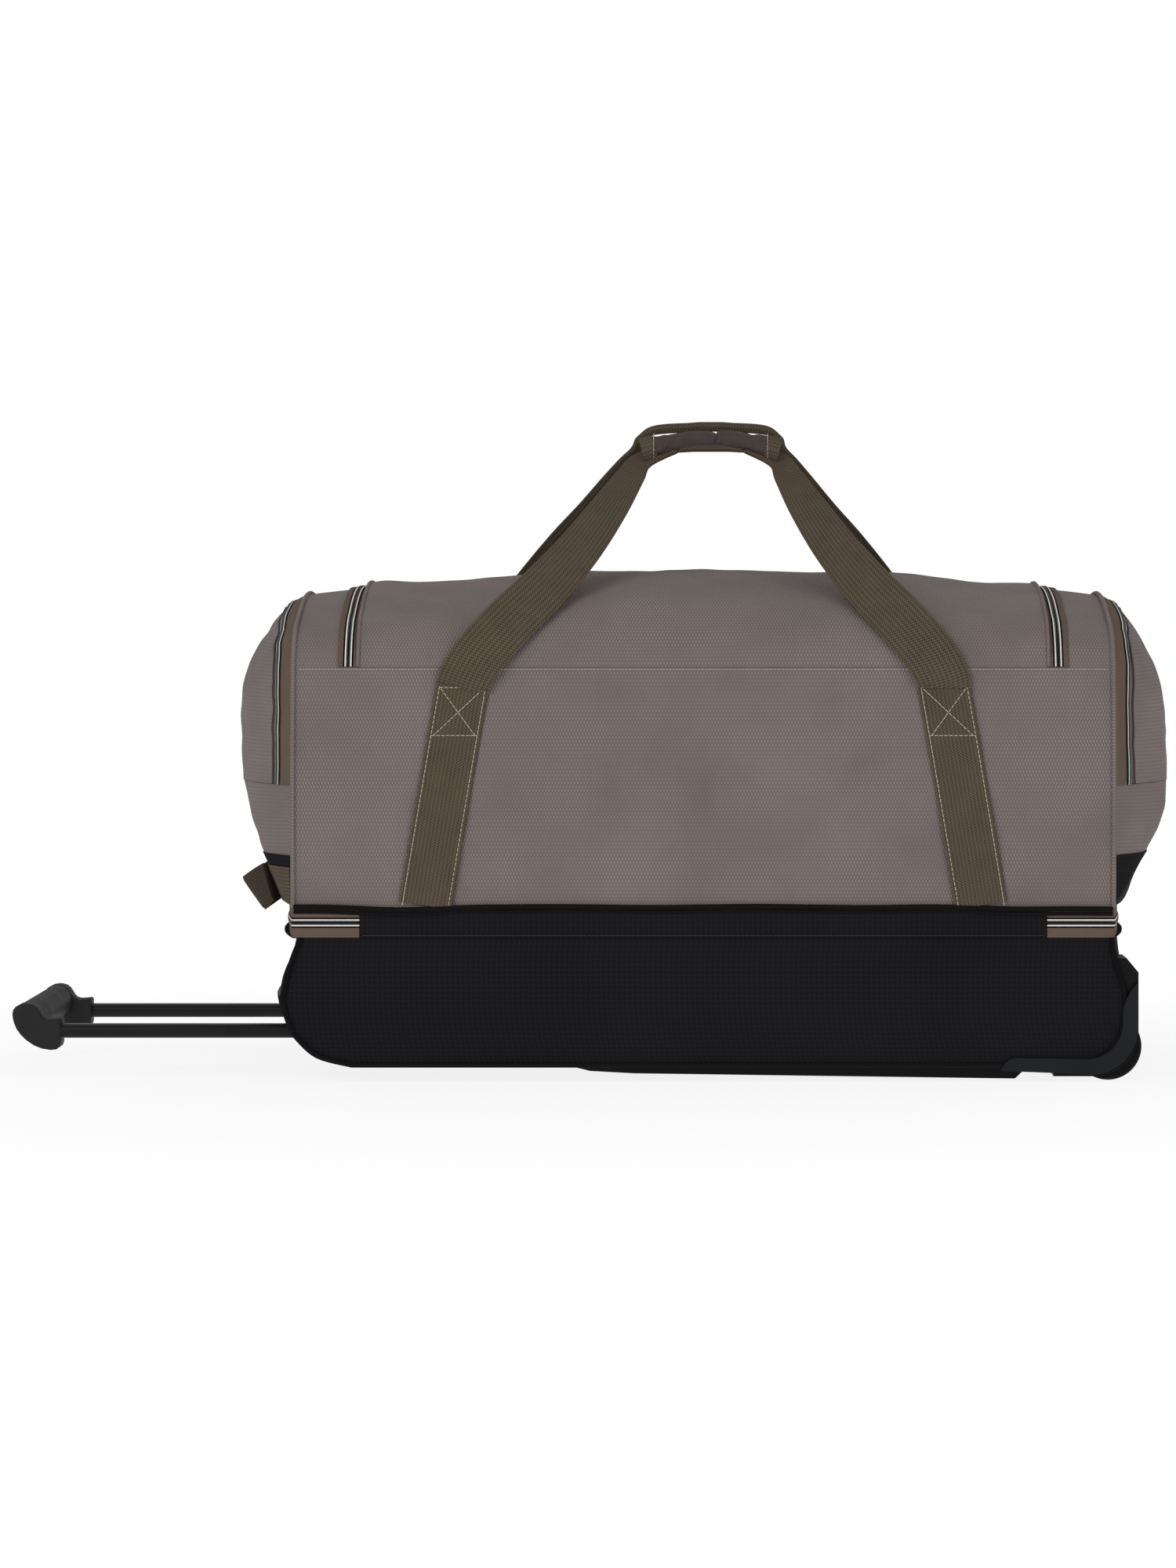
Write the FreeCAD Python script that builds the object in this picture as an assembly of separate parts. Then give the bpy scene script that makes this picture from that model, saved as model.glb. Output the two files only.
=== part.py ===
import FreeCAD, Part
import math
import os

V = FreeCAD.Vector

# Rolling duffel bag: a fabric upper compartment that tips open over a black lower
# compartment with wheels at the right end and a pull-out handle at the left end.
# Sizes are in millimetres. They are laid out from the middle of the bag (X), the
# middle of its depth (Y) and the floor (Z), and the origin is moved at the end to
# the middle of the whole part's base.

# Fabric, seams and gaps
wall = 3.0
seam_gap = 0.1
body_gap = 0.4
webbing = 45.0
webbing_thick = 2.5

# Upper compartment
panel_half = 345.0
waist_z = 147.0
waist_half = 188.0
belly_half = waist_half + 5.0
belly_z = 245.0
top_seam_half = waist_half - 1.0
top_seam_z = 350.0
crown_half = 140.0
crest_mid = 433.0
crest_end = 412.0
crown_drop = 24.0
shoulder_bulge = 9.0

# Domed ends with their pockets
pocket_out = 406.0
dome_steps = (
    # Share of the way out, then half depth and height of waist, belly and seam,
    # the crown's half depth and the crest's height.
    (0.345, 100.0, 149.0, 152.0, 245.0, 146.0, 336.0, 106.0, 406.0),
    (0.656, 92.0, 204.0, 124.0, 264.0, 116.0, 330.0, 86.0, 390.0),
    (0.869, 70.0, 238.0, 90.0, 276.0, 84.0, 318.0, 62.0, 362.0),
    (1.0, 36.0, 270.0, 44.0, 290.0, 40.0, 305.0, 28.0, 322.0),
)
cover_half = 138.0
cover_top = 392.0
cover_corner = 84.0
cover_hinge_z = 250.0
pocket_tape = 9.0

# Lid and its zip, set in from the end seams by the width of a shoulder
shoulder_wide = 35.5
lid_far_y = 120.0
lid_tape = 9.0
lid_half = panel_half - shoulder_wide - 2 * lid_tape - body_gap - seam_gap

# Waist band between the compartments
zip_z = 134.0
lower_top = 121.0
waist_end = panel_half + 2.0
waist_end_mid = waist_end + 19.0
hinge_strip_half = waist_end - 43.0

# Lower compartment
lower_half = waist_half + 2.0
lower_floor = 12.0
lower_wide = waist_end + 10.0
left_corner = 60.0
right_corner = 40.0
end_bulge_low = 10.0

# Skid tray under the lower compartment
tray_left = -144.0
tray_right = 277.0
tray_bevel = 12.0
tray_half_left = 70.0
tray_half_mid = 118.0
tray_half_right = 166.0
tray_ramp = 46.0
tray_flare = 84.0
tray_wall = 3.0

# Wheels, axles, housings and corner guards
wheel_x = lower_wide - 14.0
wheel_r = 28.6
wheel_w = 24.0
wheel_inset = 25.0
wheel_y = lower_half - wheel_inset
hub_r = 19.0
axle_r = 3.0
running_gap = 0.05
well_gap = 4.0
housing_right = wheel_x + wheel_r - 3.6
housing_long = 72.0
housing_left = housing_right - housing_long
housing_top = 104.0
housing_base = 4.2
housing_depth = 46.6
housing_wall = 3.0
guard_thick = 3.0
guard_band = 13.0
guard_long = 115.0

# Pull-out handle
tube_z = 36.0
tube_pitch = 213.0
tube_wide = 20.0
tube_high = 12.0
tube_wall = 1.2
tube_slack = 1.0
outer_wall = 1.6
grip_out = -593.0
grip_foot = -552.0
grip_half = tube_pitch / 2 + 11.5
foot_wide = 26.0
tube_overlap = 136.0
cup_back = 7.0 - waist_end
cup_half = tube_pitch / 2 + 20.5
cup_head = 26.0
cup_lip = 8.0
cup_floor = 3.0
cup_wall = 5.0
bracket_thick = 14.0
bracket_half = tube_pitch / 2 + 25.5
board_z = 50.0
board_thick = 3.0
board_gap = 1.0
button_half = 20.0
button_high = 13.0
rod_r = 2.0
rod_short = 20.0
bush_long = 14.0
fit_gap = 0.01
grip_wall = 5.0
grip_room = 17.0
grip_split = 9.5
button_rise = 6.0
button_bar = 3.0
button_end = 4.0

# Carrying handles
strap_x_low = 235.0
strap_x_top = 203.0
strap_top_z = 335.0
wrap_left = -52.0
wrap_right = 66.0
wrap_high = 24.0
wrap_deep = 22.0

# End loop on the left end
loop_half = 120.0
loop_wide = 34.0
loop_reach = 24.0
loop_top_z = 186.0
dome_foot = panel_half + 27.0
band_low = 150.0
band_high = 197.0
band_thick = 2.0

# Zip sliders with their pulls
slider_long = 12.0
slider_wide = 10.0
slider_high = 5.0
pull_long = 26.0
pull_thick = 1.6
pocket_slider_travel = 36.0

x_shift = -(grip_out + pocket_out) / 2
nodes = {}


def box(x0, x1, y0, y1, z0, z1):
    return Part.makeBox(x1 - x0, y1 - y0, z1 - z0, V(x0, y0, z0))


def flip_x(shape):
    return shape.mirror(V(0, 0, 0), V(1, 0, 0))


def flip_y(shape):
    return shape.mirror(V(0, 0, 0), V(0, 1, 0))


def line(a, b):
    return Part.LineSegment(a, b).toShape()


def arc(a, b, c):
    return Part.Arc(a, b, c).toShape()


def prism(edges, along):
    return Part.Face(Part.Wire(edges)).extrude(along)


# Cross-section of the upper compartment

def bulged(a, b, bulge):
    # Middle point of a shallow arc from a to b that bows outwards and upwards.
    dy, dz = b[0] - a[0], b[1] - a[1]
    size = math.hypot(dy, dz)
    return ((a[0] + b[0]) / 2 + bulge * dz / size, (a[1] + b[1]) / 2 - bulge * dy / size)


def section(x, low, belly, seam, crown, crest_z, bulge):
    mid = bulged(seam, crown, bulge)

    def at(p, side=1):
        return V(x, side * p[0], p[1])

    return Part.Wire([
        line(at(low, -1), at(low)),
        arc(at(low), at(belly), at(seam)),
        arc(at(seam), at(mid), at(crown)),
        arc(at(crown), V(x, 0, crest_z), at(crown, -1)),
        arc(at(crown, -1), at(mid, -1), at(seam, -1)),
        arc(at(seam, -1), at(belly, -1), at(low, -1)),
    ])


def crest(x):
    return crest_mid - (crest_mid - crest_end) * (x / panel_half) ** 2


def main_section(x, grow):
    top = crest(x) + grow
    floor = waist_z if grow >= 0 else waist_z - 2 * wall
    return section(
        x,
        (waist_half + grow, floor),
        (belly_half + grow, belly_z),
        (top_seam_half + grow, top_seam_z),
        (crown_half, top - crown_drop),
        top,
        shoulder_bulge,
    )


def main_body(grow, half):
    return Part.makeLoft([main_section(x, grow) for x in (-half, 0, half)], True, False)


def dome(grow):
    # The right-hand domed end, from the end seam out to the pocket's face.
    reach = pocket_out - panel_half
    start = panel_half + (seam_gap if grow >= 0 else -seam_gap)
    wires = [main_section(panel_half, grow)]
    wires[0].translate(V(start - panel_half, 0, 0))
    for share, low, low_z, belly, mid_z, seam, seam_z, crown, top in dome_steps:
        wires.append(section(
            panel_half + share * reach + grow,
            (low + grow, low_z - grow),
            (belly + grow, mid_z),
            (seam + grow, seam_z),
            (crown, (seam_z + 2 * top) / 3 + grow),
            top + grow,
            shoulder_bulge * (1 - share) + 1,
        ))
    return Part.makeLoft(wires, True, False)


def side_y(z):
    # Half depth of the long side at a height, on the circle through waist, belly and seam.
    (ay, az), (by, bz) = (waist_half, waist_z), (belly_half, belly_z)
    cy, cz = top_seam_half, top_seam_z
    d = 2 * (ay * (bz - cz) + by * (cz - az) + cy * (az - bz))
    a2, b2, c2 = ay * ay + az * az, by * by + bz * bz, cy * cy + cz * cz
    uy = (a2 * (bz - cz) + b2 * (cz - az) + c2 * (az - bz)) / d
    uz = (a2 * (cy - by) + b2 * (ay - cy) + c2 * (by - ay)) / d
    return uy + math.sqrt((ay - uy) ** 2 + (az - uz) ** 2 - (z - uz) ** 2)


big = 1000.0
outer = main_body(0, panel_half)
inner = main_body(-wall, panel_half - wall)
shell = outer.cut(inner).common(box(
    -panel_half + wall + seam_gap, panel_half - wall - seam_gap, -big, big, 0, big))

nodes["upper_side_near"] = shell.common(box(-big, big, -big, 0, waist_z, top_seam_z))
nodes["upper_side_far"] = shell.common(box(-big, big, 0, big, waist_z, top_seam_z))
end_wall = outer.common(box(panel_half - wall, panel_half, -big, big, 0, big))
nodes["end_wall_right"] = end_wall
nodes["end_wall_left"] = flip_x(end_wall)
nodes["compartment_floor"] = box(
    -panel_half + wall + seam_gap, panel_half - wall - seam_gap,
    -waist_half + wall + seam_gap, waist_half - wall - seam_gap, waist_z, waist_z + wall)

# Top of the upper compartment: shoulders, rear strip, lid and the two halves of its zip
top = shell.common(box(-big, big, -big, big, top_seam_z + body_gap, big))


def lid_region(margin):
    half = lid_half + margin
    return box(-half, half, -big, lid_far_y + margin, 0, big)


lid_inner = lid_region(0)
lid_edge = lid_region(lid_tape)
frame_edge = lid_region(lid_tape + body_gap)
frame_out = lid_region(2 * lid_tape + body_gap)
nodes["lid_panel"] = top.common(lid_inner)
nodes["lid_zip_inner"] = top.common(lid_edge).cut(lid_region(seam_gap))
nodes["lid_zip_outer"] = top.common(frame_out).cut(frame_edge)
frame_top = top.cut(lid_region(2 * lid_tape + body_gap + seam_gap))
shoulder_x = lid_half + 2 * lid_tape + body_gap + seam_gap
nodes["shoulder_left"] = frame_top.common(box(-big, -shoulder_x, -big, big, 0, big))
nodes["shoulder_right"] = frame_top.common(box(shoulder_x, big, -big, big, 0, big))
nodes["top_rear_panel"] = frame_top.common(box(
    -shoulder_x + seam_gap, shoulder_x - seam_gap, 0, big, 0, big))


# Domed ends: fixed rim, arched zip and the cover that folds out

def arch(grow):
    half = cover_half + grow
    high = cover_top + grow
    r = cover_corner + grow
    k = r * (1 - math.sqrt(0.5))
    low = V(panel_half - 10, -half, cover_hinge_z)
    x = low.x
    return prism([
        line(V(x, -half, cover_hinge_z), V(x, half, cover_hinge_z)),
        line(V(x, half, cover_hinge_z), V(x, half, high - r)),
        arc(V(x, half, high - r), V(x, half - k, high - k), V(x, half - r, high)),
        line(V(x, half - r, high), V(x, -half + r, high)),
        arc(V(x, -half + r, high), V(x, -half + k, high - k), V(x, -half, high - r)),
        line(V(x, -half, high - r), V(x, -half, cover_hinge_z)),
    ], V(big, 0, 0))


dome_outer = dome(0).common(box(0, big, -big, big, waist_z + seam_gap, big))
dome_shell = dome_outer.cut(dome(-wall))
cover = dome_shell.common(arch(0)).common(box(
    0, big, -big, big, cover_hinge_z + body_gap, big))
tape = dome_shell.common(arch(body_gap + pocket_tape)).cut(arch(body_gap))
rim = dome_shell.cut(arch(body_gap + pocket_tape + seam_gap))
for side, turn in (("right", lambda s: s), ("left", flip_x)):
    nodes["pocket_cover_" + side] = turn(cover)
    nodes["pocket_zip_" + side] = turn(tape)
    nodes["end_pocket_" + side] = turn(rim)


# Lower compartment: plan outlines stacked up the height and lofted

def lower_x(z, corner, inset):
    centre = lower_wide - corner
    knee = lower_floor + corner
    if z < knee:
        r = corner - inset
        return centre + math.sqrt(max(r * r - (knee - z) ** 2, 0))
    share = (z - knee) / (lower_top - knee)
    return lower_wide - inset - (lower_wide - waist_end) * share * share


def lower_plan(z, inset, half):
    share = (z - lower_floor) / (lower_top - lower_floor)
    bulge = end_bulge_low + share * (waist_end_mid - waist_end - end_bulge_low)
    left = -lower_x(z, left_corner, inset)
    right = lower_x(z, right_corner, inset)
    return Part.Wire([
        line(V(left, -half, z), V(right, -half, z)),
        arc(V(right, -half, z), V(right + bulge, 0, z), V(right, half, z)),
        line(V(right, half, z), V(left, half, z)),
        arc(V(left, half, z), V(left - bulge, 0, z), V(left, -half, z)),
    ])


lower_rise = (0.0, 4.0, 12.0, 28.0, 60.0, 84.0)


def lower_body(inset, half):
    heights = [lower_floor + inset + rise for rise in lower_rise] + [lower_top]
    return Part.makeLoft([lower_plan(z, inset, half) for z in heights], True, False)


lower_outer = lower_body(0, lower_half)
panel_in = lower_half - wall
nodes["lower_side_near"] = lower_outer.common(box(-big, big, -lower_half, -panel_in, 0, big))
nodes["lower_side_far"] = flip_y(nodes["lower_side_near"])
tunnel = lower_outer.common(box(
    -big, big, -panel_in + seam_gap, panel_in - seam_gap, 0, big))
tunnel = tunnel.cut(lower_body(wall, lower_half))
cup_low = lower_floor + wall + seam_gap
cup_high = tube_z + tube_high / 2 + cup_head
cup_hole = box(-big, 0, -cup_half - body_gap, cup_half + body_gap, cup_low, cup_high + body_gap)
left_cut = -lower_wide + left_corner
nodes["lower_end_left"] = tunnel.common(box(
    -big, left_cut - seam_gap, -big, big, 0, big)).cut(cup_hole)
right_cut = housing_left - 2.0


def housing_space(grow):
    y_in = lower_half - wall - housing_depth
    return box(housing_left - grow, big, y_in - grow, big, -1, housing_top + grow)


tunnel = tunnel.cut(housing_space(body_gap)).cut(flip_y(housing_space(body_gap)))
nodes["lower_bottom"] = tunnel.common(box(left_cut, right_cut, -big, big, 0, lower_top)).common(
    box(-big, big, -big, big, 0, lower_floor + wall + 1))
nodes["lower_end_right"] = tunnel.common(box(right_cut + seam_gap, big, -big, big, 0, big))


# Waist: zip halves round the ends and far side, and the plain hinge strip on the near side

def waist_prism(z0, z1, inset):
    half = lower_half - inset
    near, mid = waist_end - inset, waist_end_mid - inset
    return prism([
        line(V(-near, -half, z0), V(near, -half, z0)),
        arc(V(near, -half, z0), V(mid, 0, z0), V(near, half, z0)),
        line(V(near, half, z0), V(-near, half, z0)),
        arc(V(-near, half, z0), V(-mid, 0, z0), V(-near, -half, z0)),
    ], V(0, 0, z1 - z0))


def waist_ring(z0, z1):
    return waist_prism(z0, z1, 0).cut(waist_prism(z0 - 1, z1 + 1, wall))


strip_zone = box(-hinge_strip_half, hinge_strip_half, -big, 0, 0, big)
gap_zone = box(
    -hinge_strip_half - body_gap, hinge_strip_half + body_gap, -big, 0, 0, big)
low_ring = waist_ring(lower_top + seam_gap, zip_z)
high_ring = waist_ring(zip_z + body_gap, waist_z - seam_gap)
nodes["waist_zip_lower"] = low_ring.cut(gap_zone)
nodes["waist_zip_upper"] = high_ring.cut(gap_zone)
nodes["waist_hinge_strip"] = waist_ring(
    lower_top + seam_gap, waist_z - body_gap).common(strip_zone)

# Skid tray with a ramped left end
tray_top = lower_floor - seam_gap
mid_x = tray_left + tray_flare
plan = [
    V(tray_left, -tray_half_left, 0),
    V(mid_x, -tray_half_mid, 0),
    V(tray_right, -tray_half_right, 0),
    V(tray_right, tray_half_right, 0),
    V(mid_x, tray_half_mid, 0),
    V(tray_left, tray_half_left, 0),
]
tray = Part.Face(Part.makePolygon(plan + plan[:1])).extrude(V(0, 0, tray_top))
bevel = prism([
    line(V(tray_right, -big, 0), V(tray_right, -big, tray_top)),
    line(V(tray_right, -big, tray_top), V(tray_right - tray_bevel, -big, 0)),
    line(V(tray_right - tray_bevel, -big, 0), V(tray_right, -big, 0)),
], V(0, 2 * big, 0))
ramp = prism([
    line(V(tray_left - 1, -big, tray_top - tray_wall), V(tray_left + tray_ramp, -big, 0)),
    line(V(tray_left + tray_ramp, -big, 0), V(tray_left - 1, -big, 0)),
    line(V(tray_left - 1, -big, 0), V(tray_left - 1, -big, tray_top - tray_wall)),
], V(0, 2 * big, 0))
tray = tray.cut(ramp).cut(bevel)
cell_left = tray_left + tray_ramp + tray_wall
cell_count = 5
cell_pitch = (tray_right - tray_bevel - cell_left) / cell_count
for i in range(cell_count):
    x0 = cell_left + i * cell_pitch
    tray = tray.cut(box(
        x0, x0 + cell_pitch - tray_wall, -tray_half_left, tray_half_left, tray_wall, tray_top))
nodes["skid_tray"] = tray

# Wheels, axles and housings, built at the near side and mirrored


def turned(radius, y0, y1, x=wheel_x, z=wheel_r):
    return Part.makeCylinder(radius, y1 - y0, V(x, y0, z), V(0, 1, 0))


near_y = -wheel_y
wheel_in, wheel_out = near_y - wheel_w / 2, near_y + wheel_w / 2
tyre = turned(wheel_r, wheel_in, wheel_out)
rims = [e for e in tyre.Edges if e.Curve.TypeId == "Part::GeomCircle"]
tyre = tyre.makeFillet(4.0, rims)
tyre = tyre.cut(turned(hub_r, wheel_in - 1, wheel_out + 1))
hub = turned(hub_r - running_gap, wheel_in + 1, wheel_out - 1)
hub = hub.cut(turned(axle_r + running_gap, wheel_in - 1, wheel_out + 1))
dish = turned(hub_r - 4, wheel_in, wheel_in + 6).cut(turned(axle_r + 4, wheel_in, wheel_in + 6))
hub = hub.cut(dish)
block_y0 = -lower_half + wall + body_gap
block_y1 = block_y0 + housing_depth
tilt_r = wheel_r + well_gap + 4.0
corner_x = housing_right - tilt_r
outline = [
    V(housing_left, 0, housing_base),
    V(corner_x, 0, housing_base),
    V(corner_x + tilt_r * math.sqrt(0.5), 0, housing_base + tilt_r * (1 - math.sqrt(0.5))),
    V(housing_right, 0, housing_base + tilt_r),
    V(housing_right, 0, housing_top - 12),
    V(housing_right - 10, 0, housing_top),
    V(housing_left, 0, housing_top),
]


def housing_block(y0, y1, inset):
    pts = [V(p.x, y0, p.z) for p in outline]
    solid = prism([
        line(pts[0], pts[1]),
        arc(pts[1], pts[2], pts[3]),
        line(pts[3], pts[4]),
        line(pts[4], pts[5]),
        line(pts[5], pts[6]),
        line(pts[6], pts[0]),
    ], V(0, y1 - y0, 0))
    if inset:
        solid = solid.common(box(
            housing_left + inset, housing_right - inset, -big, big,
            housing_base + inset, housing_top - inset))
    return solid


housing = housing_block(block_y0, block_y1, 0).cut(
    housing_block(block_y0 + housing_wall, block_y1 - housing_wall, housing_wall))
well = turned(wheel_r + well_gap + 3, block_y0 + 1, wheel_out + well_gap + 3)
well = well.common(housing_block(block_y0, block_y1, 0))
housing = housing.fuse(well).cut(turned(
    wheel_r + well_gap, wheel_in - well_gap + 1, wheel_out + well_gap))
housing = housing.cut(box(
    wheel_x, big, wheel_in - well_gap + 1, wheel_out + well_gap, -1, wheel_r))
axle_y0, axle_y1 = block_y0 + 1.0, block_y1 - 1.0
axle = turned(axle_r, axle_y0, axle_y1)
post = turned(axle_r + 3, wheel_out + well_gap, block_y1 - housing_wall)
housing = housing.fuse(post).cut(turned(axle_r + running_gap, axle_y0 - 0.5, axle_y1 + 0.5))
housing = housing.removeSplitter()

guard_y0 = -lower_half - body_gap / 2 - guard_thick
g_right = housing_right - 0.8
g_low = housing_base + 2.0
g_left = g_right - guard_long
guard_pts = [
    V(g_right, 0, 84.0),
    V(g_right, 0, 44.0),
    V(g_right - 11.5, 0, 18.5),
    V(g_right - 37.0, 0, g_low),
    V(g_left, 0, g_low + 3.0),
    V(g_left, 0, g_low + 6.0),
    V(g_left + 5.0, 0, g_low + guard_band - 1.5),
    V(g_left + 16.0, 0, g_low + guard_band + 1.0),
    V(g_right - 44.0, 0, g_low + guard_band),
    V(g_right - 22.0, 0, 28.0),
    V(g_right - guard_band, 0, 48.0),
    V(g_right - guard_band, 0, 60.0),
    V(g_right - guard_band + 4.5, 0, 72.5),
]


def guard_prism(y0, y1):
    p = [V(q.x, y0, q.z) for q in guard_pts]
    return prism([
        line(p[0], p[1]), arc(p[1], p[2], p[3]), line(p[3], p[4]), line(p[4], p[5]),
        arc(p[5], p[6], p[7]), line(p[7], p[8]), arc(p[8], p[9], p[10]),
        line(p[10], p[11]), arc(p[11], p[12], p[0]),
    ], V(0, y1 - y0, 0))


guard = guard_prism(guard_y0, -lower_half - body_gap / 2)
lip = guard_prism(guard_y0, block_y0 - body_gap / 2).cut(lower_body(-body_gap, lower_half + body_gap))
guard = guard.fuse(lip).removeSplitter()
for side, turn in (("near", lambda s: s), ("far", flip_y)):
    nodes["tyre_" + side] = turn(tyre)
    nodes["hub_" + side] = turn(hub)
    nodes["wheel_housing_" + side] = turn(housing)
    nodes["corner_guard_" + side] = turn(guard)
nodes["axles"] = Part.makeCompound([axle, flip_y(axle)])


# Pull-out handle: tubes, bushes, cup, brackets and the board over them

def oval(x0, x1, y, wide, high):
    r = high / 2
    a = wide / 2 - r
    p = [V(x0, y - a, tube_z - r), V(x0, y + a, tube_z - r),
         V(x0, y + a, tube_z + r), V(x0, y - a, tube_z + r)]
    return prism([
        line(p[0], p[1]),
        arc(p[1], V(x0, y + a + r, tube_z), p[2]),
        line(p[2], p[3]),
        arc(p[3], V(x0, y - a - r, tube_z), p[0]),
    ], V(x1 - x0, 0, 0))


def ring(x0, x1, y, wide, high, thick):
    hole = oval(x0 - 1, x1 + 1, y, wide - 2 * thick, high - 2 * thick)
    return oval(x0, x1, y, wide, high).cut(hole)


tube_y = tube_pitch / 2
tube_in = -waist_end_mid + tube_overlap
case_wide = tube_wide + 2 * (tube_slack + outer_wall)
case_high = tube_high + 2 * (tube_slack + outer_wall)
case_left = cup_back
case_right = housing_left - 14.0
sides = (-tube_y, tube_y)
tube_out = grip_foot - 20.0
bush_wide = tube_wide + 2 * tube_slack - 2 * running_gap
bush_high = tube_high + 2 * tube_slack - 2 * running_gap


def bush(y):
    body = oval(tube_in - bush_long, tube_in, y, bush_wide, bush_high)
    hole_wide, hole_high = tube_wide + 2 * fit_gap, tube_high + 2 * fit_gap
    return body.cut(oval(tube_in - bush_long - 1, tube_in + 1, y, hole_wide, hole_high))


nodes["inner_tubes"] = Part.makeCompound([
    ring(tube_out, tube_in, y, tube_wide, tube_high, tube_wall) for y in sides])
nodes["tube_bushes"] = Part.makeCompound([bush(y) for y in sides])
nodes["outer_tubes"] = Part.makeCompound([
    ring(case_left, case_right, y, case_wide, case_high, outer_wall) for y in sides])
cup = box(-big, cup_back + cup_wall + cup_lip, -cup_half, cup_half, cup_low, cup_high)
cup = cup.common(lower_outer)
recess = box(-big, cup_back, -cup_half + cup_wall, cup_half - cup_wall,
             cup_low + cup_floor, cup_high - cup_wall)
cup = cup.cut(recess)
for y in sides:
    cup = cup.cut(oval(case_left, case_right, y, case_wide + 0.1, case_high + 0.1))
nodes["handle_cup"] = cup


def bracket(x):
    body = box(x, x + bracket_thick, -bracket_half, bracket_half,
               lower_floor + wall + seam_gap, board_z - seam_gap)
    for y in sides:
        body = body.cut(oval(x - 1, x + bracket_thick + 1, y, case_wide + 0.1, case_high + 0.1))
    return body


bracket_xs = (-160.0, 60.0, case_right - bracket_thick)
nodes["tube_brackets"] = Part.makeCompound([bracket(x) for x in bracket_xs])
nodes["base_board"] = box(
    cup_back + cup_wall + cup_lip + body_gap, housing_left - board_gap,
    -panel_in + board_gap, panel_in - board_gap, board_z, board_z + board_thick)

# Grip: a bar of rounded section with two feet on the tubes
bar = [
    V(grip_out, 0, 46.0),
    V(grip_out + 2.5, 0, 54.2),
    V(grip_out + 9.0, 0, 59.5),
    V(grip_out + 19.0, 0, 59.5),
    V(grip_out + 25.0, 0, 57.0),
    V(grip_out + 28.0, 0, 49.0),
    V(grip_out + 27.0, 0, 38.0),
    V(grip_out + 20.0, 0, 27.0),
    V(grip_out + 7.0, 0, 28.0),
]
foot = [
    V(grip_out + 18.0, 0, 52.0),
    V(grip_out + 27.0, 0, 46.5),
    V(grip_foot, 0, 47.5),
    V(grip_foot, 0, 27.0),
    V(grip_foot - 3.0, 0, 22.0),
    V(grip_foot - 8.0, 0, 21.0),
    V(grip_out + 9.0, 0, 31.0),
]


def bar_prism(y0, y1):
    p = [V(q.x, y0, q.z) for q in bar]
    return prism([
        arc(p[0], p[1], p[2]), line(p[2], p[3]), arc(p[3], p[4], p[5]),
        line(p[5], p[6]), line(p[6], p[7]), line(p[7], p[8]), line(p[8], p[0]),
    ], V(0, y1 - y0, 0))


def foot_prism(y0, y1):
    p = [V(q.x, y0, q.z) for q in foot]
    return Part.Face(Part.makePolygon(p + p[:1])).extrude(V(0, y1 - y0, 0))


grip = bar_prism(-grip_half, grip_half)
for y0, y1 in ((-grip_half, -grip_half + foot_wide), (grip_half - foot_wide, grip_half)):
    grip = grip.fuse(foot_prism(y0, y1))
grip = grip.removeSplitter()
cavity_x0 = grip_out + grip_wall
cavity_x1 = cavity_x0 + grip_room
cavity_z0, cavity_z1 = tube_z - grip_wall, tube_z + 2.6 * grip_wall
grip = grip.cut(box(
    cavity_x0, cavity_x1, -grip_half + grip_wall, grip_half - grip_wall, cavity_z0, cavity_z1))
for y in sides:
    hole_wide, hole_high = tube_wide + 2 * fit_gap, tube_high + 2 * fit_gap
    grip = grip.cut(oval(tube_out, grip_foot + 1, y, hole_wide, hole_high))
button_z = tube_z + button_rise
slot_half = button_half + body_gap
grip = grip.cut(box(
    grip_out - 1, cavity_x0 + 1, -slot_half, slot_half,
    button_z - button_high / 2 - body_gap, button_z + button_high / 2 + body_gap))
split_z = tube_z + grip_split
nodes["grip_body"] = grip.common(box(-big, big, -big, big, 0, split_z))
nodes["grip_cover"] = grip.common(box(-big, big, -big, big, split_z + seam_gap, big))
bar_x0 = cavity_x0 + body_gap + 1.0
face = box(grip_out + body_gap, bar_x0 + 1, -button_half, button_half,
           button_z - button_high / 2, button_z + button_high / 2)
cross = box(bar_x0, bar_x0 + button_bar, -tube_y - button_end, tube_y + button_end,
            tube_z - button_end, tube_z + button_end)
riser = box(bar_x0, bar_x0 + button_bar, -button_half, button_half,
            tube_z - button_end, button_z + button_high / 2)
nodes["release_button"] = face.fuse(cross).fuse(riser).removeSplitter()
rod_x0 = bar_x0 + button_bar + seam_gap
rod_x1 = tube_in - rod_short
nodes["push_rods"] = Part.makeCompound([
    Part.makeCylinder(rod_r, rod_x1 - rod_x0, V(rod_x0, y, tube_z), V(1, 0, 0))
    for y in sides])


# Webbing: flat straps through stations of centre, facing direction, width and thickness

def ribbon(points, facings, widths, thicks):
    wires = []
    for i, point in enumerate(points):
        before = points[max(i - 1, 0)]
        after = points[min(i + 1, len(points) - 1)]
        along = (after - before).normalize()
        across = along.cross(facings[i]).normalize() * (widths[i] / 2)
        out = across.cross(along).normalize() * (thicks[i] / 2)
        corners = [point + across + out, point + across - out,
                   point - across - out, point - across + out]
        wires.append(Part.makePolygon(corners + corners[:1]))
    return Part.makeLoft(wires, True, True)


strap_off = body_gap + seam_gap + webbing_thick / 2
low_z = waist_z + 2.0
strap_steps = 12
strap_spare = 4.0


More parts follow.
